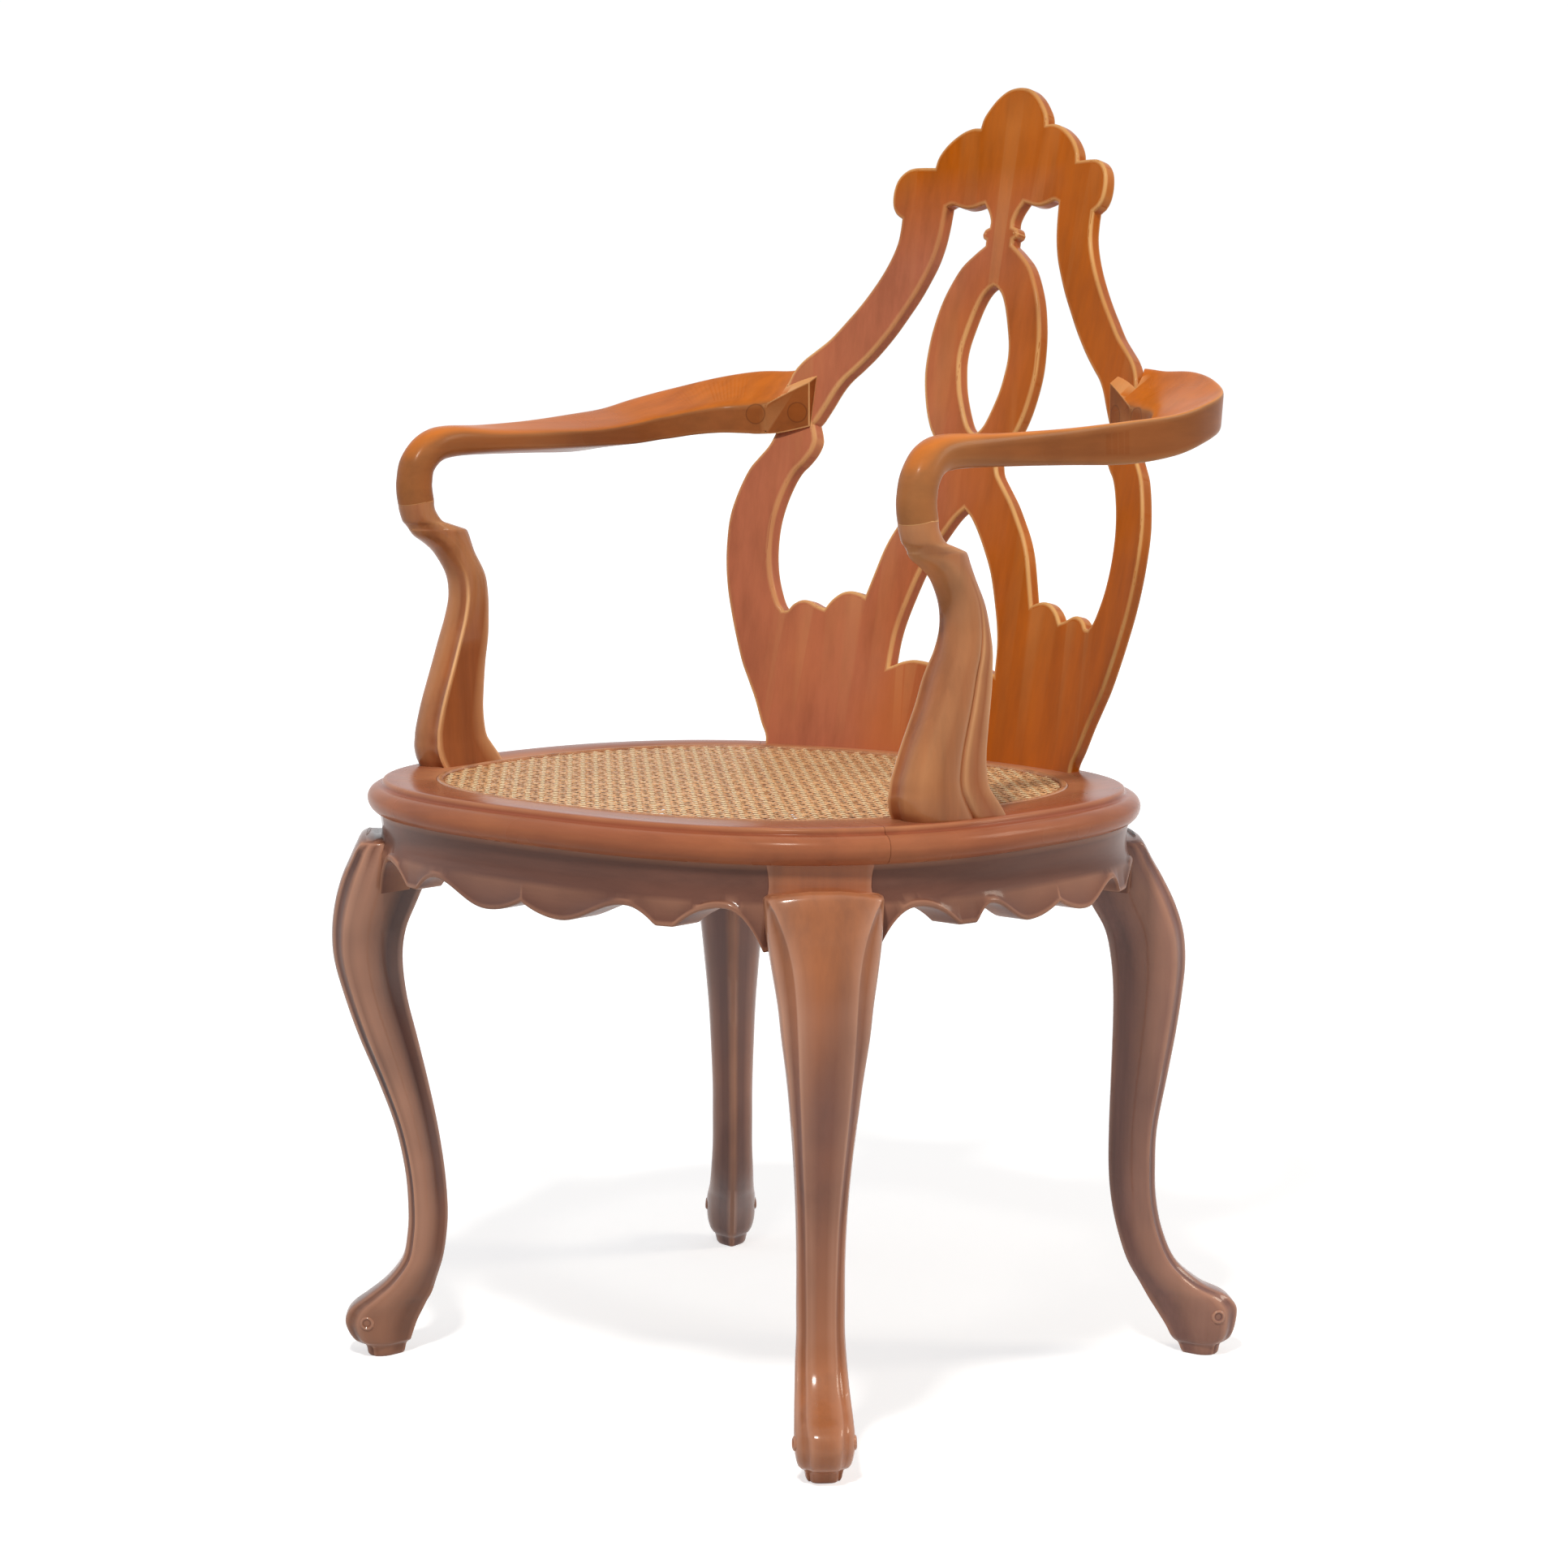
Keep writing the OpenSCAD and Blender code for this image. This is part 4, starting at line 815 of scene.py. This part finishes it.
def chord_of(around):
    """The flat chord for a distance round the curve."""
    return BACK_R * math.sin(around / BACK_R)


STILE = on_board(chord_of(STILE_AROUND), STILE_UP)
print("stile at", [round(c) for c in STILE])

# %% [markdown]
# The arm is round where the hand curls over the crook. Towards the back it becomes a broad plate with
# upright sides, and its top tilts inwards like a leaf. Stations give the share of the way from the post to
# the stile, the place off that straight way, the heading of the outward side, the reach outward and
# inward, the heights of the top and bottom at both sides, and how square the corners are.

# %% Stations of the arms
ARM = [
    (0, 0, 0, 0, 0, 13.5, 13.5, 14, 14, -14, -14, 0), (0, 0, -1.5, 8, 0, 13.5, 13.5, 14, 14, -14, -14, 0),
    (0, 0, -1.5, 16, 0, 13.5, 13.5, 13.8, 13.8, -13.8, -13.8, 0),
    (0, 0, 2, 29, 0, 13.5, 13.5, 13.5, 13.5, -13.5, -13.5, 0),
    (0, -1, 14, 41, 0, 13.5, 13.5, 13, 13, -13, -13, 0.05),
    (0.06, 4.4, 12.6, 40.6, 0, 13.5, 13.5, 12.5, 12, -12.5, -12, 0.15),
    (0.19, 18.1, 12.3, 29, 4, 14.5, 14.5, 14, 8, -12, -9, 0.3),
    (0.37, 41.3, 8.2, 13.9, 8, 15.5, 15.5, 15.5, 6, -13, -9, 0.5),
    (0.54, 64.6, 7.6, 1.7, 12, 16, 17.5, 17, 3.2, -16, -11, 0.8),
    (0.67, 82.2, 5.3, -5.9, 15, 17, 22, 17, 3, -14.5, -14.5, 1),
    (0.76, 90.3, 6.2, -8, 28, 18, 30, 18.8, 1.5, -11.5, -18.5, 1),
    (0.85, 88.4, 5.2, -9, 48, 19, 33, 21, -2, -9.5, -23.5, 1),
    (0.93, 74.6, 2.7, -8.2, 66, 14, 31, 22, -6, -9, -30, 1),
    (1, 54.9, -5.3, -8.4, 78, 12.5, 29, 21, -9.5, -10, -35.5, 1),
    (1, 27.9, 2.7, -5.4, 86, 11.5, 26.5, 18, -9, -13, -37.5, 1),
    (1, 5.9, 5.7, -4.4, 92, 11, 28, 19, -6, -16, -39, 1),
    (1, -20, 6.7, -5.4, 92, 11, 28, 17, 5, -18, -37, 1)]
ARM_JOINT = Vector((POST_X + POST[-1][1], POST_Y - POST[-1][2], JOINT_H))


def arm_middle(row):
    """A station's middle, off the straight way from the post to the stile."""
    return ARM_JOINT.lerp(STILE, row[0]) + Vector(row[1:4])


def arm_section(u, around=40):
    """A section square to the arm's path, from round to square-cornered."""
    row = between(ARM, u)
    last = len(ARM) - 1
    ahead, behind = arm_middle(between(ARM, min(u + 0.05, last))), arm_middle(between(ARM, max(u - 0.05, 0)))
    along = Vector((0, 0, 1)) if u == 0 else (ahead - behind).normalized()
    head = math.radians(row[4])
    side = Vector((math.cos(head), math.sin(head), 0))
    side = (side - along * side.dot(along)).normalized()
    up = side.cross(along)
    power = 2 / (2.1 + 9 * max(0.0, row[11]) ** 1.5)
    ring = []
    for k in range(around):
        turn = math.tau * (k + 0.5) / around
        c, s = math.cos(turn), math.sin(turn)
        out = (math.copysign(abs(c) ** power, c) + 1) / 2
        high = (math.copysign(abs(s) ** power, s) + 1) / 2
        a = mix(-row[6], row[5], out)
        b = mix(mix(row[10], row[9], out), mix(row[8], row[7], out), high)
        ring.append((arm_middle(row) + side * a + up * b) * MM)
    return ring


print("arm stations:", len(ARM))

# %% [markdown]
# The back is one board, sawn to its outline with five openings and bent round a wide curve. The outline is
# drawn flat: millimetres from the middle line, and up the slope. Only the right half is drawn. The points
# between two marks lie on a smooth curve, but a mark where the line turns sharply stays a crisp cusp.

# %% Outline of the back
HALF_OUTLINE = [
    (160, -14), (160, 0), (166, 12), (174, 30), (182, 45), (190, 60), (198, 80), (205, 100), (211, 120),
    (215, 140), (217, 160), (217, 180), (213, 200), (206, 220), (198, 232), (191, 242), (186, 255),
    (184, 270), (183, 285), (179, 302), (171, 314), (160, 324), (149, 334), (139, 346), (128, 360),
    (119, 373), (110, 388), (103, 403), (99, 416), (98, 427), (98, 436), (104, 440), (108, 447),
    (109, 457), (107, 467), (102, 474), (95, 478), (86, 479), (73, 479), (71, 487), (66, 495), (59, 502),
    (50, 508), (41, 511), (34, 511), (32, 519), (27, 527), (20, 535), (11, 541)]
TALL_OPENING = [
    (20, 448), (24, 447), (31, 445), (38, 444.5), (45, 446), (52, 448), (57, 446), (58, 430), (60, 415),
    (64, 400), (70, 386), (77, 372), (86, 357), (97, 340), (110, 323), (122, 310), (131, 301), (138, 291),
    (145, 277), (151, 266), (154, 262), (151, 254), (150, 247), (153, 238), (159, 229), (165, 222),
    (170, 212), (175, 196), (178, 178), (178, 160), (176, 144), (172, 129), (165, 113), (159, 106),
    (155, 107), (151, 112), (144, 116), (137, 116), (129, 113), (122, 111), (116, 119), (108, 125),
    (100, 127), (92, 126), (86, 124), (80, 144), (74, 163), (67, 178), (58, 192), (49, 205), (38, 218),
    (30, 228), (27, 237), (31, 247), (42, 259), (49, 273), (54, 290), (57, 308), (57, 325), (55, 344),
    (50, 365), (43, 382), (34, 397), (22, 408), (14, 414), (14, 418), (17, 420), (18, 423), (16, 427),
    (12, 429), (12, 434), (15, 441)]
HALF_LOOP = [
    (0, 381), (5, 378), (10, 372), (15, 361), (20, 345), (23, 333), (24, 322), (23, 311), (20, 296),
    (15, 282), (9, 269), (4, 263), (0, 261)]
HALF_ALMOND = [
    (0, 199), (8, 192), (17, 180), (27, 164), (36, 147), (44, 125), (50, 105), (53, 88), (54, 68),
    (49, 70), (42, 73), (33, 75), (25, 75), (17, 74), (9, 72), (4, 69), (0, 67)]


def flipped(points):
    """The left half of a line whose right half is given."""
    return [(-x, y) for x, y in reversed(points)]


def smoothed(points, steps=4, cusp=38):
    """Adds points on a smooth curve between the marks of a closed line, and keeps its cusps."""
    marks = [Vector((chord_of(x), y)) for x, y in points]
    count = len(marks)

    def is_cusp(i):
        before = marks[i] - marks[i - 1]
        after = marks[(i + 1) % count] - marks[i]
        return math.degrees(before.angle(after)) > cusp

    line = []
    for i in range(count):
        p1, p2 = marks[i], marks[(i + 1) % count]
        p0 = 2 * p1 - p2 if is_cusp(i) else marks[i - 1]
        p3 = 2 * p2 - p1 if is_cusp((i + 1) % count) else marks[(i + 2) % count]
        for k in range(steps):
            line.append(Vector(between([p0, p1, p2, p3], 1 + k / steps)))
    return line


print("outline marks:", 2 * len(HALF_OUTLINE))

# %% [markdown]
# The board itself is made as a joiner would: a flat fill between the sawn lines, thickened, its arrises
# rounded with a bevel, and only then bent. A flat face can't bend, so it is first cut into upright strips.
# The foot is trimmed level just inside the seat.

# %% Back board
ARRIS, FLAT_RIM, STRIP, STRIPS, CORNER = 2.4, 1.2, 8, 27, 1.2


def whole(bm):
    """All of a bmesh, to be cut."""
    return bm.verts[:] + bm.edges[:] + bm.faces[:]


def sawn_board(loops, thick, arris):
    """A flat board between closed lines, with rounded arrises; its front lies at height zero."""
    bm = bmesh.new()
    rims = []
    for loop in loops:
        verts = [bm.verts.new((p.x, p.y, 0)) for p in loop]
        rims += [bm.edges.new(pair) for pair in zip(verts, verts[1:] + verts[:1])]
    bmesh.ops.triangle_fill(bm, use_beauty=True, use_dissolve=False, edges=rims)
    bmesh.ops.dissolve_limit(bm, angle_limit=0.01, use_dissolve_boundaries=False, verts=bm.verts,
                             edges=bm.edges)
    pushed = bmesh.ops.extrude_face_region(bm, geom=bm.faces[:], use_keep_orig=True)
    moved = [g for g in pushed["geom"] if isinstance(g, bmesh.types.BMVert)]
    bmesh.ops.translate(bm, vec=(0, 0, -thick), verts=moved)
    bmesh.ops.recalc_face_normals(bm, faces=bm.faces)
    edges = [e for e in bm.edges if len(e.link_faces) == 2 and e.calc_face_angle() > CORNER
             and abs(e.verts[0].co.z - e.verts[1].co.z) < 1e-6]
    if arris:
        bmesh.ops.bevel(bm, geom=edges, offset=arris, offset_type="OFFSET", segments=4, profile=0.5,
                        affect="EDGES", material=-1, clamp_overlap=False, loop_slide=False)
        for region in ([f for f in bm.faces if abs(f.normal.z) > 0.999],
                       [f for f in bm.faces if abs(f.normal.z) < 0.02]):
            bmesh.ops.inset_region(bm, faces=region, thickness=FLAT_RIM, use_boundary=True,
                                   use_even_offset=True)
    return bm


def bent(bm, thick):
    """Cuts the board into strips and bends it: hollow towards the sitter, leaning back."""
    for k in range(-STRIPS, STRIPS + 1):
        bmesh.ops.bisect_plane(bm, geom=whole(bm), dist=1e-5, plane_co=(k * STRIP, 0, 0), plane_no=(1, 0, 0))
    bmesh.ops.triangulate(bm, faces=[f for f in bm.faces if len(f.verts) > 4])
    for v in bm.verts:
        deep = -v.co.z / thick
        v.co = on_board(v.co.x, v.co.y).lerp(on_board(v.co.x, v.co.y, thick), deep) * MM
    return bm


full_outline = HALF_OUTLINE + [(0, BACK_L)] + flipped(HALF_OUTLINE)
back_lines = [smoothed(full_outline), smoothed(TALL_OPENING), smoothed(flipped(TALL_OPENING)),
              smoothed(HALF_LOOP[:-1] + flipped(HALF_LOOP)[:-1]),
              smoothed(HALF_ALMOND[:-1] + flipped(HALF_ALMOND)[:-1])]
board = bent(sawn_board(back_lines, BACK_T, ARRIS), BACK_T)
for level, below in ((SEAT_H - 0.6, True), (SEAT_H + 1, False)):
    bmesh.ops.bisect_plane(board, geom=whole(board), dist=1e-7, plane_co=at_mm(0, 0, level),
                           plane_no=(0, 0, 1), clear_inner=below)
    bmesh.ops.holes_fill(board, edges=[e for e in board.edges if e.is_boundary])
settle(board, "pierced_back", back_varnish, "wood_light", "back_panel", sharp=36, full=0.55)

# %% [markdown]
# The notch in the arm follows the same bent board, so the same helpers make its cutter: the stile's
# outline, thick enough to clear everything behind the board's face. A Boolean takes it away, and the
# result is kept as the arm's own mesh.

# %% Arms
STILE_IN, STILE_LOW, STILE_HIGH, CLEARANCE = 110, 225, 340, 40
END_SLANT, END_CUT, END_STOP = math.radians(29), (14.8, -18.4), -7
END_ZONE = (STILE.x * MM + 0.024, STILE.y * MM - 0.05)
SAWN_AREA, ARM_STEPS = 1e-4, 150


def cutter_board(side):
    """The stile's space behind the board's face, for one side."""
    stile = [p for p in HALF_OUTLINE if STILE_LOW <= p[1] <= STILE_HIGH]
    stile = [(STILE_IN, STILE_LOW)] + stile + [(STILE_IN, STILE_HIGH)]
    loop = smoothed(stile if side > 0 else flipped(stile), steps=3)
    bm = bent(sawn_board([loop], BACK_T, 0), BACK_T)
    backwards = Vector((0, math.cos(BACK_LEAN), -math.sin(BACK_LEAN)))
    for v in bm.verts:
        face = on_board(v.co.x / MM, 0) * MM
        if (v.co - face).dot(backwards) > 0.5 * BACK_T * MM:
            v.co += backwards * CLEARANCE * MM
    return as_object(bm, "stile_cutter")


def arm(name, side):
    """One arm, its end cut off by two planes and notched round the stile."""
    last = len(ARM) - 1
    bm = wrap(bmesh.new(), [arm_section(last * i / ARM_STEPS) for i in range(ARM_STEPS + 1)])
    for spot, facing in (
            (at_mm(STILE.x + END_CUT[0], STILE.y + END_CUT[1], 0),
             (-math.sin(END_SLANT), -math.cos(END_SLANT), 0)),
            (at_mm(STILE.x + END_STOP, STILE.y, 0), (-1, 0, 0))):
        end = [f for f in bm.faces if f.calc_center_median().x < END_ZONE[0]
               and f.calc_center_median().y > END_ZONE[1]]
        near = [part for f in end for part in (*f.verts, *f.edges, f)]
        bmesh.ops.bisect_plane(bm, geom=list(dict.fromkeys(near)), dist=1e-6, plane_co=spot, plane_no=facing,
                               clear_outer=True)
        bmesh.ops.holes_fill(bm, edges=[e for e in bm.edges if e.is_boundary])
    if side < 0:
        mirrored(bm)
    blank = as_object(bm, "arm_blank")
    cutter = cutter_board(side)
    notch = blank.modifiers.new("notch", "BOOLEAN")
    notch.operation = "DIFFERENCE"
    notch.solver = "EXACT"
    notch.object = cutter
    bpy.context.view_layer.update()
    result = bmesh.new()
    result.from_object(blank, bpy.context.evaluated_depsgraph_get())
    bmesh.ops.remove_doubles(result, verts=result.verts, dist=1e-6)
    sawn = [f for f in result.faces if f.calc_area() > SAWN_AREA]
    bmesh.ops.inset_individual(result, faces=sawn, thickness=FLAT_RIM * MM, use_even_offset=True)
    bpy.data.objects.remove(blank)
    bpy.data.objects.remove(cutter)
    settle(result, "curled_arm_" + name, arm_varnish, "wood_light", "arm_" + name, sharp=36, full=0.8)


arm("right", 1)
arm("left", -1)

# %% [markdown]
# The studio is plain: a white floor that runs to a white world, a small firm lamp above the camera, a warm
# one behind that draws the board's rim, and a weak fill. The floor glows a little, but only as the camera,
# mirrors and glass see it, so that it stays white while it keeps the chair's shadow.

# %% Floor, world and lamps
GLOW_NEAR, GLOW_FAR = 0.7, 2.6


def shown_white(tree, surface, strength, distant=None):
    """Adds a white glow that only the camera, mirrors and glass see, stronger further out."""
    rays = place(tree, "ShaderNodeLightPath")
    either = maths(tree, "MAXIMUM", (rays, "Is Camera Ray"), (rays, "Is Glossy Ray"))
    any_ray = maths(tree, "MAXIMUM", either, (rays, "Is Transmission Ray"))
    if distant:
        far = place(tree, "ShaderNodeVectorMath", {0: own_place(tree)}, operation="LENGTH")
        strength = spread(tree, (far, "Value"), GLOW_NEAR, GLOW_FAR, strength, distant)
    power = maths(tree, "MULTIPLY", any_ray, strength)
    glow = place(tree, "ShaderNodeEmission", {"Color": (1, 1, 1, 1), "Strength": power})
    return place(tree, "ShaderNodeAddShader", {0: (surface, 0), 1: (glow, 0)}), 0


floor_mesh = bmesh.new()
bmesh.ops.create_grid(floor_mesh, x_segments=4, y_segments=4, size=30)
floor = as_object(floor_mesh, "studio_floor")
floor_paint, paint_tree, plain_shader = new_finish("studio white")
paint_tree.nodes.remove(plain_shader)
matt = place(paint_tree, "ShaderNodeBsdfDiffuse", {"Color": (0.72, 0.72, 0.72, 1)})
feed(paint_tree, paint_tree.nodes["Material Output"], {"Surface": shown_white(paint_tree, matt, 0.62, 1.0)})
floor.data.materials.append(floor_paint)

studio = bpy.data.worlds.new("studio")
studio.use_nodes = True
bpy.context.scene.world = studio
sky_tree = studio.node_tree
sky = feed(sky_tree, sky_tree.nodes["Background"], {"Color": (0.93, 0.95, 1.0, 1), "Strength": 0.34})
feed(sky_tree, sky_tree.nodes["World Output"], {"Surface": shown_white(sky_tree, sky, 0.7)})


def lamp(name, spot, aim, size, power, colour):
    """A square soft lamp that points at a spot."""
    made = new_object(name, bpy.data.lights.new(name, "AREA"))
    made.data.size, made.data.energy, made.data.color = size, power, colour
    made.location = spot
    made.rotation_euler = (Vector(aim) - Vector(spot)).to_track_quat("-Z", "Y").to_euler()


lamp("key_lamp", (1.0, -1.75, 3.0), aim=(0, 0, 0.5), size=0.32, power=66, colour=(1.0, 0.97, 0.92))
lamp("fill_lamp", (-2.4, -1.4, 1.4), aim=(0, 0, 0.5), size=1.8, power=5, colour=(0.95, 0.97, 1.0))
lamp("rim_lamp", (2.2, 2.0, 1.9), aim=(0, 0.1, 0.7), size=1.0, power=34, colour=(1.0, 0.9, 0.76))
bpy.context.scene.view_settings.view_transform = "Standard"
print("lamps:", len(bpy.data.lights))
